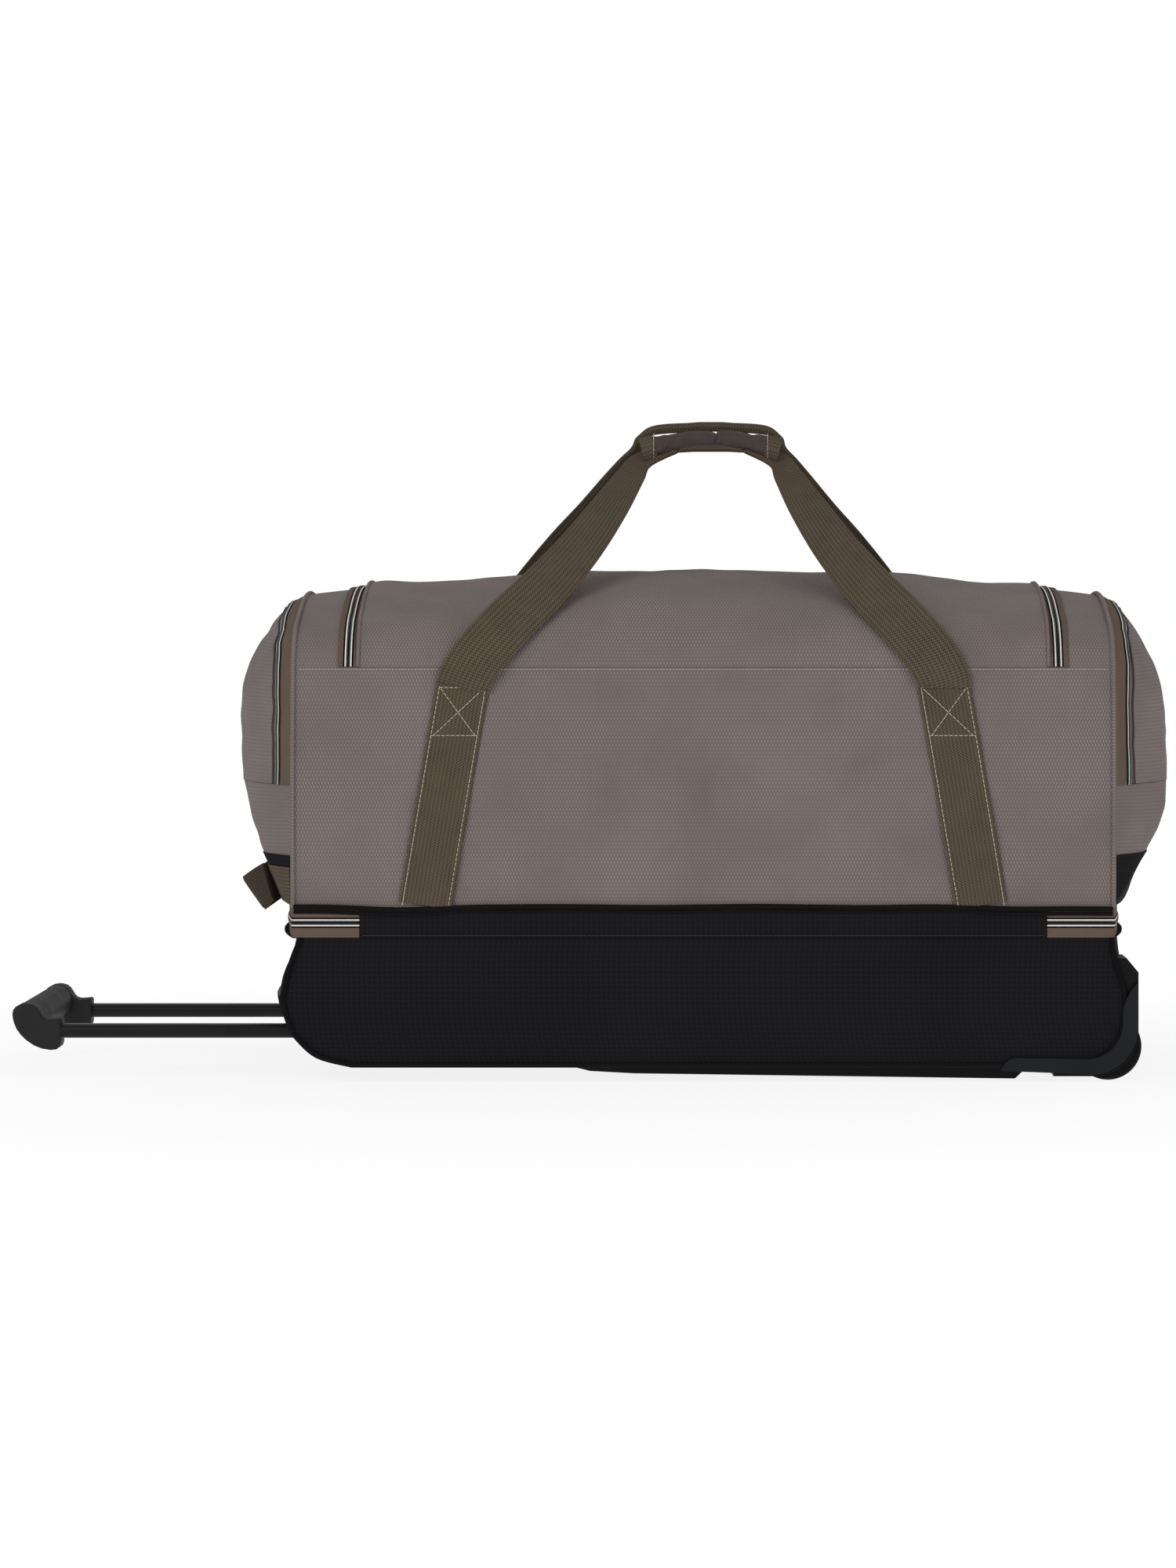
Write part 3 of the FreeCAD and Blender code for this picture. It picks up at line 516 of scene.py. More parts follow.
def dobby_fabric(name, colour, wide, tall):
    """Glossy fabric woven in small upright lozenges."""
    f = Finish(name, colour, 0.55, specular_ior_level=0.1)
    u, v, _ = f.place()
    cells = lozenges(f, u, v, wide, tall)
    threads = f.maths("MULTIPLY", sine(f, u, 0.62), sine(f, v, 0.5))
    patches = f.noise(9.0, 4.0)
    clear = f.maths("MULTIPLY", cells, f.node("ShaderNodeMapRange", {
        "Value": f.noise(16.0, 2.0), "From Min": 0.35, "From Max": 0.6, "To Min": 0.5}).outputs[0])
    f.tint(f.maths("MULTIPLY_ADD", clear, 0.75, f.maths("MULTIPLY", patches, 0.25)), 0.7, 1.72)
    f.gloss(f.maths("MULTIPLY_ADD", cells, -0.45, f.maths("ADD", patches, 0.4)), 0.45, 0.7)
    f.bump(cells, 0.5, 0.8)
    f.bump(threads, 0.07, 0.6)
    f.bump(f.noise(24.0, 3.0), 2.0, 0.6)


def ripstop_fabric(name, colour):
    """Thin fabric with a square grid of thicker threads."""
    f = Finish(name, colour, 0.75, specular_ior_level=0.02)
    u, v, _ = f.place()
    lines = f.maths("MAXIMUM", f.maths("POWER", sine(f, u, 4.4), 3.0), f.maths("POWER", sine(f, v, 4.4), 3.0))
    threads = f.maths("MULTIPLY", sine(f, u, 0.55), sine(f, v, 0.55))
    patches = f.noise(7.0, 5.0)
    f.tint(f.maths("MULTIPLY_ADD", lines, 0.45, f.maths("MULTIPLY", patches, 0.55)), 0.75, 1.6)
    f.gloss(patches, 0.6, 0.85)
    f.bump(lines, 0.16, 0.6)
    f.bump(threads, 0.07, 0.6)
    f.bump(f.noise(30.0, 4.0), 1.6, 0.5)


def ribbed_webbing(name, colour, rib=1.5, contrast=1.0):
    """Flat woven webbing: ribs across its length, broken into columns."""
    f = Finish(name, colour, 0.75, specular_ior_level=0.05)
    u, v, _ = f.place()
    columns = sine(f, v, 1.35 * rib)
    shifted = f.maths("MULTIPLY_ADD", f.maths("GREATER_THAN", columns, 0.5), 0.5 * rib * MM, u)
    ribs = sine(f, shifted, rib)
    weave = f.maths("MULTIPLY_ADD", columns, 0.3, f.maths("MULTIPLY", ribs, 0.7))
    wear = f.noise(60.0, 4.0)
    f.tint(f.maths("MULTIPLY_ADD", weave, 0.8, f.maths("MULTIPLY", wear, 0.2)),
           1 - 0.75 * contrast, 1 + 0.75 * contrast)
    f.bump(weave, 0.5, 0.8)
    f.bump(f.noise(500.0, 2.0), 0.12, 0.5)


def padded_fabric(name, colour):
    """The padded wrap's cloth, woven on Object coordinates."""
    f = Finish(name, colour, 0.6, specular_ior_level=0.2)
    x, _, z = f.place("Object")
    weave = f.maths("MULTIPLY", sine(f, f.maths("ADD", x, z), 2.4), sine(f, f.maths("SUBTRACT", x, z), 2.4))
    f.tint(f.maths("MULTIPLY_ADD", weave, 0.6, f.maths("MULTIPLY", f.noise(90.0, 4.0), 0.5)), 0.75, 1.6)
    f.bump(weave, 0.2, 0.7)
    f.bump(f.noise(120.0, 3.0), 1.2, 0.6)


def moulded_plastic(name, colour, roughness, grain=0.05, shine=0.08):
    f = Finish(name, colour, roughness, specular_ior_level=shine)
    f.tint(f.noise(22.0, 5.0), 0.75, 1.3)
    f.gloss(f.noise(40.0, 5.0), roughness - 0.08, roughness + 0.12)
    f.bump(f.noise(1400.0, 2.0), grain, 0.5)


def brushed_metal(name, colour, roughness):
    f = Finish(name, colour, roughness, metallic=1.0)
    f.gloss(f.noise(90.0, 6.0), roughness - 0.08, roughness + 0.14)
    f.tint(f.noise(25.0, 3.0), 0.85, 1.1)
    f.bump(f.noise(900.0, 2.0), 0.02, 0.4)


def make_materials(colours):
    dobby_fabric("taupe_fabric", colours.upper_fabric, 2.7, 6.4)
    ripstop_fabric("black_fabric", colours.lower_fabric)
    ripstop_fabric("lining", linear(40, 38, 39))
    ribbed_webbing("webbing", colours.webbing, 2.4)
    # The haul loop's webbing is the strap webbing darkened by 0.55: painted shade
    ribbed_webbing("loop_webbing", tuple(0.55 * c for c in colours.webbing), 2.0)
    ribbed_webbing("zip_tape", colours.zip_tape, 1.6, 0.4)
    ribbed_webbing("dark_tape", linear(24, 23, 24), 0.9, 0.5)
    ribbed_webbing("piping_tape", linear(84, 75, 72), 0.8, 0.3)
    thread_finish = Finish("thread", colours.thread, 0.6, sheen_weight=0.3)
    thread_finish.tint(thread_finish.noise(700.0, 2.0), 0.8, 1.15)
    thread_finish.bump(thread_finish.noise(2500.0, 1.0), 0.05, 0.6)
    dark = Finish("dark_thread", linear(44, 42, 42), 0.6)
    dark.tint(dark.noise(700.0, 2.0), 0.8, 1.2)
    stripe = Finish("zip_stripe", linear(236, 233, 227), 0.6)
    stripe.tint(stripe.noise(800.0, 2.0), 0.75, 1.05)
    coil = Finish("zip_coil", linear(26, 25, 26), 0.35)
    coil.tint(coil.noise(300.0, 2.0), 0.7, 1.4)
    coil.bump(coil.noise(1500.0, 1.0), 0.03, 0.4)
    padded_fabric("padded_fabric", colours.wrap)
    moulded_plastic("moulded_plastic", linear(20, 20, 21), 0.36)
    moulded_plastic("grip_plastic", linear(40, 39, 40), 0.5)
    moulded_plastic("guard_plastic", colours.guard, 0.55)
    moulded_plastic("board", linear(58, 55, 52), 0.7, 0.1)
    moulded_plastic("rubber", linear(19, 18, 18), 0.66, 0.12)
    moulded_plastic("tube_metal", linear(26, 26, 28), 0.3, 0.01, 0.12)
    brushed_metal("steel", linear(150, 150, 152), 0.3)
    brushed_metal("slider_metal", linear(60, 58, 57), 0.38)
    floor = Finish("studio_floor", (0.9, 0.9, 0.9), 0.8, specular_ior_level=0.05)
    floor.tint(floor.noise(3.0, 2.0), 0.99, 1.01)
    where = floor.node("ShaderNodeTexCoord").outputs["Object"]
    away = floor.node("ShaderNodeVectorMath", {0: where}, operation="LENGTH").outputs["Value"]
    share = floor.node("ShaderNodeMapRange", {
        "Value": away, "From Min": 0.3, "From Max": 1.1, "To Min": 0.86, "To Max": 1.0},
        interpolation_type="SMOOTHSTEP").outputs[0]
    glow = floor.node("ShaderNodeEmission", {"Color": (1, 1, 1, 1), "Strength": 1.0})
    both = floor.node("ShaderNodeMixShader", {0: share, 1: floor.shader.outputs[0], 2: glow.outputs[0]})
    floor.tree.links.new(both.outputs[0], floor.tree.nodes["Material Output"].inputs[0])


def colour(name, what, *shade_values):
    """A colour that a user can change, given in display values."""
    return bpy.props.FloatVectorProperty(
        name=name, description="Colour of the " + what, subtype="COLOR", size=3, min=0, max=1,
        default=linear(*shade_values))


class BagColours(bpy.types.PropertyGroup):
    """Colours that a user would change"""
    upper_fabric: colour("Upper fabric", "woven upper fabric", 119, 109, 106)
    lower_fabric: colour("Lower fabric", "black lower fabric", 24, 24, 26)
    webbing: colour("Webbing", "straps", 84, 74, 62)
    zip_tape: colour("Zip tape", "woven tapes of the zips", 104, 88, 77)
    guard: colour("Corner guard", "wheel corner guards", 30, 31, 34)
    wrap: colour("Grip wrap", "padded wrap round the carrying handles", 64, 54, 52)
    thread: colour("Thread", "topstitching", 176, 166, 150)


class BagSizes(bpy.types.PropertyGroup):
    """Sizes that a user would change"""
    piping_radius: bpy.props.FloatProperty(
        name="Piping radius", description="Radius of the piping in the seams",
        subtype="DISTANCE", unit="LENGTH", min=0.0005, max=0.006, default=0.0021)
    stitch_pitch: bpy.props.FloatProperty(
        name="Stitch pitch", description="Length of one stitch with its gap",
        subtype="DISTANCE", unit="LENGTH", min=0.002, max=0.01, default=0.0042)


# Upper compartment

class BAG_OT_upper_panels(bpy.types.Operator):
    """Adds the long side panels, the shoulders and the rear strip of the top"""
    bl_idname = "bag.upper_panels"
    bl_label = "Upper panels"

    def execute(self, context):
        for name, side in (("near", -1), ("far", 1)):
            panel("upper_panel_" + name, 150, 44,
                  lambda a, b: side_skin(mix(-END, END, a), mix(WAIST_Z, SEAM[1], b), side),
                  (0, side, 0), "upper", "taupe_fabric", ("upper_side_" + name,))
        inner = ZIP_X + 7.4
        for name, side in (("left", -1), ("right", 1)):
            panel("upper_shoulder_" + name, 10, 90,
                  lambda a, b: top_skin(side * mix(inner, END, a), mix(-1, 1, b)),
                  (0, 0, 1), "upper", "taupe_fabric", ("shoulder_" + name,))
        start = over_share(ZIP_Y + 9.3)
        panel("top_rear_strip", 120, 20,
              lambda a, b: top_skin(mix(-inner, inner, a), mix(start, 1, b)),
              (0, 1, 1), "upper", "taupe_fabric", ("top_rear_panel",))
        panel("compartment_lining", 60, 36,
              lambda a, b: at(mix(-341, 341, a), mix(-184, 184, b),
                              149.2 + ripple(a * 7, b * 4, 0, 1, 1.2)
                              * math.sin(math.pi * a) * math.sin(math.pi * b)),
              (0, 0, 1), "upper", "lining", ("compartment_floor",), slot="lining")
        return {"FINISHED"}


def lid_lift(x, t):
    """The lid stands up a little beside its zips."""
    return 0.6 + 3.6 * ease(LID_HALF - 46, LID_HALF - 4, abs(x)) * ease(-1.0, -0.86, t)


class BAG_OT_lid(bpy.types.Operator):
    """Adds the lid, from the near seam over the top to its zip"""
    bl_idname = "bag.lid"
    bl_label = "Lid"

    def execute(self, context):
        stop = over_share(ZIP_Y - 9.2)

        def lid_place(a, b):
            x, t = mix(-LID_HALF, LID_HALF, a), mix(-1, stop, b)
            return top_skin(x, t, lid_lift(x, t))
        obj = laid_grid("lid_fabric", 140, 72, lid_place)
        sewn_sheet(obj, (0, 0, 1), "taupe_fabric", SKIN, LID_FOLD, "taupe_fabric",
                   ("lid_panel",))
        return {"FINISHED"}


# Ends of the bag

ARCH_FOOT = 250.0
ZIP_DEPTH = 15.5


def contour(depth, angle):
    """Where the domed end stands out by a depth, on the ray at an angle from straight up."""
    low, high = 0.2, 1.0
    reach = end_reach(angle)
    for _ in range(26):
        share = (low + high) / 2
        y, z = share * reach * math.sin(angle), HEART_Z + share * reach * math.cos(angle)
        if end_depth(y, z) > depth:
            low = share
        else:
            high = share
    return y, z


def arch_line(depth, count=120):
    """The contour at a depth, from the foot of one leg over the top to the other, as (y, z)."""
    low, high = math.radians(60), math.radians(125)
    for _ in range(26):
        angle = (low + high) / 2
        if contour(depth, angle)[1] > ARCH_FOOT:
            low = angle
        else:
            high = angle
    return [contour(depth, angle * (2 * k / count - 1)) for k in range(count + 1)]


def arch_table(depth):
    """Distance from the heart of the end to a contour closed by the foot line, by angle."""
    line = [p for p in arch_line(depth) if p[0] >= 0]
    points = line + [(line[-1][0] * k / 24, ARCH_FOOT) for k in range(24)]
    pairs = sorted((math.atan2(y, z - HEART_Z), math.hypot(y, z - HEART_Z)) for y, z in points)
    return np.array(pairs).T


def end_uv(y, z, side):
    """Cloth coordinates of the ends: length from the heart along its own ray."""
    angle = math.atan2(y, z - HEART_Z)
    size = math.hypot(y, z - HEART_Z)
    length, last = 0.0, (0.0, end_depth(0, HEART_Z))
    for k in range(1, 17):
        r = size * k / 16
        depth = end_depth(r * math.sin(angle), HEART_Z + r * math.cos(angle))
        length += math.hypot(r - last[0], depth - last[1])
        last = (r, depth)
    return side * length * math.sin(angle) * MM, length * math.cos(angle) * MM


def end_normal(y, z, side):
    made = facing(lambda a, b: end_skin(a, b, side), y, z)
    return made if made.x * side > 0 else -made


LEFT_EDGE = ((12, 297), (20, 327), (36.5, 345.5), (46, 351), (58, 355), (70, 357), (88, 353.8), (107, 348),
             (121, 342))
RIGHT_EDGE = ((12, 317), (20, 339), (30, 349), (42, 355.5), (60, 358), (77, 357.6), (96, 351.8), (107, 349),
              (121, 347))


def lower_x(z, edge):
    """Half length of the lower compartment at a height, by the outline of one end."""
    rows = np.array(edge)
    return float(np.interp(z, rows[:, 0], rows[:, 1]))


def lower_route():
    """The lower compartment's outline from the left top round the bottom to the right top."""
    left = smooth_run([(-x, z) for z, x in LEFT_EDGE[::-1]], 48)
    left = [(x, max(z, LOWER_FLOOR)) for x, z in left]
    right = [(x, max(z, LOWER_FLOOR)) for x, z in smooth_run([(x, z) for z, x in RIGHT_EDGE], 48)]
    floor = [(x, LOWER_FLOOR) for x in np.linspace(-290, 310, 40)]
    return [(float(x), float(z)) for x, z in left + floor + right]


def route_ups(route):
    """Outward directions along the lower outline, as (x, z)."""
    made = []
    for k in range(len(route)):
        (x0, z0), (x1, z1) = route[max(k - 1, 0)], route[min(k + 1, len(route) - 1)]
        size = max(math.hypot(x1 - x0, z1 - z0), 1e-6)
        made.append(((z1 - z0) / size, -(x1 - x0) / size))
    return made


def joined(name, *objs):
    """Several meshes made one piece; the first keeps its place."""
    choose(objs[0])
    for obj in objs:
        obj.select_set(True)
    bpy.ops.object.join()
    objs[0].name = objs[0].data.name = name
    return objs[0]


def half_zip(name, points, ups, side, wide):
    """Half a zip along a run: woven tape, white stripe and coil; side is -1 or 1 of the run."""
    points, ups = resampled(points, ups, 2.4)
    edge, inner = side * wide, side * 0.2
    tape = [(mix(inner, edge, k / 4), 0.5 if k in (0, 4) else 0.75) for k in range(5)]
    tape += [(c, o - 1.3) for c, o in tape[::-1]]
    made = [swept(name, points, ups, tape)]
    dress(made[0], "zip_tape")
    for label, low, high, lift, finish in (("dark", 0.2, 4.4, 1.0, "dark_tape"),
                                           ("stripe", 1.6, 2.9, 1.3, "zip_stripe")):
        band = [(side * low, lift), (side * high, lift), (side * high, 0.2), (side * low, 0.2)]
        made.append(swept(name + label, points, ups, band))
        dress(made[-1], finish)
    fine, tops = resampled(points, ups, 0.85)
    last = len(fine) - 1

    def bead(share):
        radius = 1.05 if round(share * last) % 2 else 0.72
        return [(side * 1.0 + c, 1.1 + o) for c, o in round_profile(radius, 6)]
    made.append(swept(name + "coil", fine, tops, bead))
    dress(made[-1], "zip_coil")
    for item in made:
        shade(item, 50)
    return joined(name, *made)


class BAG_OT_ends(bpy.types.Operator):
    """Adds the domed end pockets with their covers and the walls behind them"""
    bl_idname = "bag.ends"
    bl_label = "End pockets"

    def execute(self, context):
        outside, inside = arch_table(ZIP_DEPTH - 4.5), arch_table(ZIP_DEPTH + 3.2)
        for name, side in (("left", -1), ("right", 1)):
            folds = ("upper", "pocket_" + name, at(side * 400, 0, 249), at(side * 400, 0, 264))

            def rim(a, b):
                angle = math.pi * (2 * a - 1)
                r = mix(float(np.interp(abs(angle), *outside)), end_reach(angle), b)
                return r * math.sin(angle), HEART_Z + r * math.cos(angle)

            def cover(a, b):
                angle = math.pi * (2 * a - 1)
                r = float(np.interp(abs(angle), *inside)) * b
                return r * math.sin(angle), HEART_Z + 0.4 + r * math.cos(angle)
            for label, rows, place, lift, body in (
                    ("end_rim_", 22, rim, 0.0, "upper"), ("pocket_cover_fabric_", 40, cover, 0.6, folds)):
                obj = laid_grid(label + name, 144, rows, lambda a, b: end_skin(*place(a, b), side, lift),
                                lambda a, b: end_uv(*place(a, b), side))
                edit(obj, lambda: bpy.ops.mesh.remove_doubles(threshold=0.00001))
                sewn_sheet(obj, (side, 0, 0), "taupe_fabric", SKIN, body, "taupe_fabric",
                           ("end_pocket_" + name if body == "upper" else "pocket_cover_" + name,))
            path = arch_line(ZIP_DEPTH)
            points = [end_skin(y, z, side, 0.5) for y, z in path]
            ups = [end_normal(y, z, side) for y, z in path]
            inner, outer = (1, -1) if side > 0 else (-1, 1)
            obj = half_zip("pocket_zip_outer_" + name, points, ups, outer, 4.4)
            finish_piece(obj, "upper", "zip_tape", ("pocket_zip_" + name,))
            obj = half_zip("pocket_zip_inner_" + name, points, ups, inner, 4.4)
            finish_piece(obj, folds, "zip_tape")
            lines = [arch_line(depth) for depth in (12.5, 10, 7.5, 5, 2.6)]

            def tape(a, b):
                y, z = lines[round(b * 4)][round(a * 120)]
                return end_skin(y, z, side, 0.3) + end_normal(y, z, side) * (0.6 * MM)
            obj = laid_grid("pocket_tape_" + name, 120, 4, tape)
            outward(obj, (side, 0, 0))
            dress(obj, "zip_tape")
            thicken(obj, 0.8, False)
            shade(obj, 60)
            finish_piece(obj, "upper", "zip_tape")
            hem = arch_line(ZIP_DEPTH + 4.4)
            obj = swept("pocket_hem_" + name, [end_skin(y, z, side, 1.0) for y, z in hem],
                        [end_normal(y, z, side) for y, z in hem], round_profile(1.2, 8))
            finished(obj, "piping_tape", 80, folds, "taupe_fabric")
            bands = (("end_foot_", 148.0, 191.0, 1.1, "black_fabric"),)
            if side < 0:
                bands = (("end_foot_", 178.0, 190.5, 1.1, "black_fabric"),
                         ("haul_webbing_", 148.5, 180.5, 1.8, "webbing"))
            for label, low, high, lift, finish in bands:
                obj = laid_grid(label + name, 64, 12, lambda a, b: end_skin(
                    mix(-184.5, 184.5, a), mix(low, high, b), side, lift))
                nodes = ("haul_band",) if finish == "webbing" else ()
                sewn_sheet(obj, (side, 0, 0), finish, 0.9, "upper", finish, nodes)

            def wall(a, b):
                angle = math.pi * (2 * a - 1)
                r = (end_reach(angle) - 3.5) * b
                return at(side * 343.0, r * math.sin(angle), HEART_Z + r * math.cos(angle))
            obj = laid_grid("end_wall_lining_" + name, 72, 10, wall)
            edit(obj, lambda: bpy.ops.mesh.remove_doubles(threshold=0.00001))
            sewn_sheet(obj, (side, 0, 0), "lining", 1.4, "upper", "lining", ("end_wall_" + name,))
            seam_points, seam_ups = [], []
            for y, z in end_edge():
                seam_points.append(at(side * (END + 0.4), y, z))
                size = math.hypot(y, z - HEART_Z)
                seam_ups.append(Vector((0, y / size, (z - HEART_Z) / size)))
            obj = swept("end_piping_" + name, seam_points, seam_ups,
                        [(c + side * 1.2, o + 0.7)
                         for c, o in round_profile(context.scene.bag_sizes.piping_radius / MM, 10)])
            finished(obj, "taupe_fabric", 80, "upper", "taupe_fabric")
        return {"FINISHED"}


def end_edge():
    """The end seam from the near waist over the top to the far waist, as (y, z)."""
    one = [arc_point(WAIST, BELLY, SEAM, k / 24) for k in range(25)]
    one += [over_top(END, 1 - k / 34) for k in range(1, 35)]
    return [(-y, z) for y, z in one] + one[-2::-1]


def lid_run(inset):
    """Round the three opening sides of the lid, as (x, t) over the top."""
    per_mm = CROWN_SHARE / (CROWN_TURN * CROWN_R)
    side, far, turn = ZIP_X - inset, (math.asin(ZIP_Y / CROWN_R) * CROWN_R - inset) * per_mm, 14.0 - inset / 2
    run = [(-side, mix(-1, far - turn * per_mm, k / 60)) for k in range(60)]
    run += [(-side + turn * (1 - math.cos(a)), far - turn * per_mm * (1 - math.sin(a)))
            for a in np.linspace(0, math.pi / 2, 9)]
    run += [(mix(-side + turn, 0, k / 40), far) for k in range(1, 41)]
    return run + [(-x, t) for x, t in run[-2::-1]]


class BAG_OT_lid_zip(bpy.types.Operator):
    """Adds the zip round three sides of the lid"""
    bl_idname = "bag.lid_zip"
    bl_label = "Lid zip"

    def execute(self, context):
        run = lid_run(0)
        points = [top_skin(x, t, 0.6) for x, t in run]
        ups = [(top_skin(x, t, 1.0) - top_skin(x, t, 0.0)).normalized() for x, t in run]
        inner = half_zip("lid_zip_half", points, ups, 1, LID_TAPE)
        finish_piece(inner, LID_FOLD, "zip_tape", ("lid_zip_inner",))
        outer = half_zip("frame_zip_half", points, ups, -1, LID_TAPE)
        finish_piece(outer, "upper", "zip_tape", ("lid_zip_outer",))
        edge = lid_run(ZIP_X - LID_HALF - 0.8)
        points = [top_skin(x, t, lid_lift(x, t) + 0.2) for x, t in edge]
        ups = [(top_skin(x, t, 1.0) - top_skin(x, t, 0.0)).normalized() for x, t in edge]
        obj = swept("lid_piping", points, ups, round_profile(1.7, 10))
        finished(obj, "taupe_fabric", 80, LID_FOLD, "taupe_fabric")
        seam = np.linspace(-342, 342, 240)
        thread("near_seam_stitch", [side_skin(x, 348.2, -1, 0.35) for x in seam],
               [Vector((0, -1, 0))] * 240, "upper", 3.4, 0.34)
        return {"FINISHED"}


class BAG_OT_lower_panels(bpy.types.Operator):
    """Adds the black side panels of the lower compartment, its wrap and piping"""
    bl_idname = "bag.lower_panels"
    bl_label = "Lower compartment"

    def execute(self, context):
        route = lower_route()
        sides = route_ups(route)
        for name, side in (("near", -1), ("far", 1)):
            def place(a, b):
                z = mix(LOWER_FLOOR + 2.5, LOWER_TOP, b)
                x = mix(3.6 - lower_x(z, LEFT_EDGE), lower_x(z, RIGHT_EDGE) - 3.6, a)
                held = math.sin(math.pi * min(a * 8, 0.5)) * math.sin(math.pi * min((1 - a) * 8, 0.5))
                held *= math.sin(math.pi * (0.08 + 0.92 * b) * 0.99)
                soft = 1.2 + ripple(x, side * 55, z * 1.2, 66, 3.8)
                soft += ripple(x * 1.3 + z, side * 20, z, 27, 1.5)
                if side < 0:
                    for dx, dz, lean in ((322, 92, 0.9), (308, 84, 1.2)):
                        crease = math.exp(-(((x - dx) - lean * (z - dz)) / 5.0) ** 2)
                        soft -= 1.5 * crease * ease(34, 0, abs(z - dz))
                return at(x, side * (LOWER - 0.8 + max(soft * held, -1.2)), z)
            panel("lower_panel_" + name, 190, 30, place, (0, side, 0), "base", "black_fabric",
                  ("lower_side_" + name,), slot="black_fabric")
            obj = swept("lower_piping_" + name,
                        [at(x - ux * 2.0, side * (LOWER + 0.1), z - uz * 2.0)
                         for (x, z), (ux, uz) in zip(route, sides)],
                        [Vector((ux, 0, uz)) for ux, uz in sides], round_profile(2.3, 10))
            finished(obj, "dark_tape", 80, "base", "black_fabric")
        rows = [-189, -176, -158, -139.8, -127.8, -100, -70, -35, 0]
        rows += [-y for y in rows[-2::-1]]

        def wrap(a, b):
            k = round(a * (len(route) - 1))
            x, z = route[k]
            ux, uz = sides[k]
            y = rows[round(b * (len(rows) - 1))]
            bulge = mix(13, 9, ease(80, 106, z)) + 4.5 * ease(106, 121, z)
            if x > 0:
                bulge = mix(10, 15.5, (z - LOWER_FLOOR) / (LOWER_TOP - LOWER_FLOOR))
            bulge *= (1 - (y / 190.0) ** 2) * abs(ux)
            return at(x - ux * 1.6 + math.copysign(bulge, x), y, z - uz * 0.6)
        obj = laid_grid("lower_wrap", len(route) - 1, len(rows) - 1, wrap)
        outward(obj, (0, 0, -1))
        choose(obj)
        mesh = obj.data
        bpy.ops.object.mode_set(mode="EDIT")
        bpy.ops.mesh.select_mode(type="FACE")
        bpy.ops.mesh.select_all(action="DESELECT")
        bpy.ops.object.mode_set(mode="OBJECT")
        for face in mesh.polygons:
            c = face.center
            x, y, z = (c.x - MIDDLE_X) / MM, abs(c.y) / MM, c.z / MM
            opening = x < HANDLE_OPENING[0] and y < HANDLE_OPENING[1] and z < HANDLE_OPENING[2]
            well = x > WHEEL_WELL[0] and y > WHEEL_WELL[1] and z < WHEEL_WELL[2]
            face.select = opening or well
        bpy.ops.object.mode_set(mode="EDIT")
        bpy.ops.mesh.delete(type="FACE")
        bpy.ops.object.mode_set(mode="OBJECT")
        dress(obj, "black_fabric", "lining")
        thicken(obj, SKIN)
        shade(obj, 50)
        finish_piece(obj, "base", "black_fabric", ("lower_end_left", "lower_bottom", "lower_end_right"))
        return {"FINISHED"}


def waist_route(start):
    """Round the waist from the near left corner by the far side to the near right one."""
    arc = [(-a[1], a[0]) for a in (arc_point((-190, 347), (0, 360.5), (190, 347), k / 28) for k in range(29))]
    run = [(-mix(start, 347, k / 5), -190) for k in range(5)]
    run += arc
    run += [(mix(-347, 0, k / 30), 190) for k in range(1, 31)]
    run += [(-x, y) for x, y in run[-2::-1]]
    return run


def waist_wave(x):
    """The soft rise and fall of the piping along the waist."""
    return -2.2 * math.exp(-((x + 262) / 46) ** 2) - 2.0 * ease(190, 290, x) + ripple(x, 0, 0, 90, 1.0)


class BAG_OT_waist(bpy.types.Operator):
    """Adds the zip round the waist, the plain strip in front and the piping over it"""
    bl_idname = "bag.waist"
    bl_label = "Waist"

    def execute(self, context):
        run = waist_route(290.5)
        ups = []
        for k in range(len(run)):
            (x0, y0), (x1, y1) = run[max(k - 1, 0)], run[min(k + 1, len(run) - 1)]
            ups.append(Vector((y0 - y1, x1 - x0, 0)).normalized())
        points = [at(x, y, 134.2) - u * 0.6 * MM for (x, y), u in zip(run, ups)]
        for name, side, body, node, wide in (
                ("waist_zip_base", 1, "base", "waist_zip_lower", 12.9),
                ("waist_zip_top", -1, "upper", "waist_zip_upper", 12.5)):
            obj = half_zip(name, points, ups, side, wide)
            finish_piece(obj, body, "zip_tape", (node,))

            def ledge(share):
                bulge = max(abs(run[round(share * (len(run) - 1))][0]) - 347, 0)
                reach = 0.2 if side > 0 else 0.2 + 0.46 * bulge
                return [(side * 12.0, reach), (side * 13.2, reach),
                        (side * 13.2, -19.0), (side * 12.0, -19.0)]
            obj = swept(name + "_ledge", points, ups, ledge)
            finished(obj, "black_fabric", 50, body, "black_fabric")
        strip = [at(x, -190.2 - 0.7 * noise.noise(Vector((x / 60, 0, 0))), 134.0)
                 for x in np.linspace(-290, 290, 90)]
        obj = swept("waist_strip", strip, [Vector((0, -1, 0))] * 90, band_profile(25.4, 1.6, 8))
        finished(obj, "black_fabric", 50, "base", "black_fabric", ("waist_hinge_strip",))
        for label, drop, radius, body in (("piping", 0.0, 2.1, "upper"), ("fold", -4.1, 1.7, "base")):
            rope = [at(x, -190.4, 147.6 + drop + waist_wave(x)) for x in np.linspace(-346, 346, 120)]
            obj = swept("waist_" + label, rope, [Vector((0, -1, 0))] * 120, round_profile(radius, 10))
            finished(obj, "dark_tape", 80, body, "black_fabric")
        thread("waist_stitch", [at(x, -191.3, 123.4) for x in np.linspace(-288, 288, 200)],
               [Vector((0, -1, 0))] * 200, "base", 3.4, 0.3, "black_fabric", "dark_thread")
        return {"FINISHED"}


# Webbing

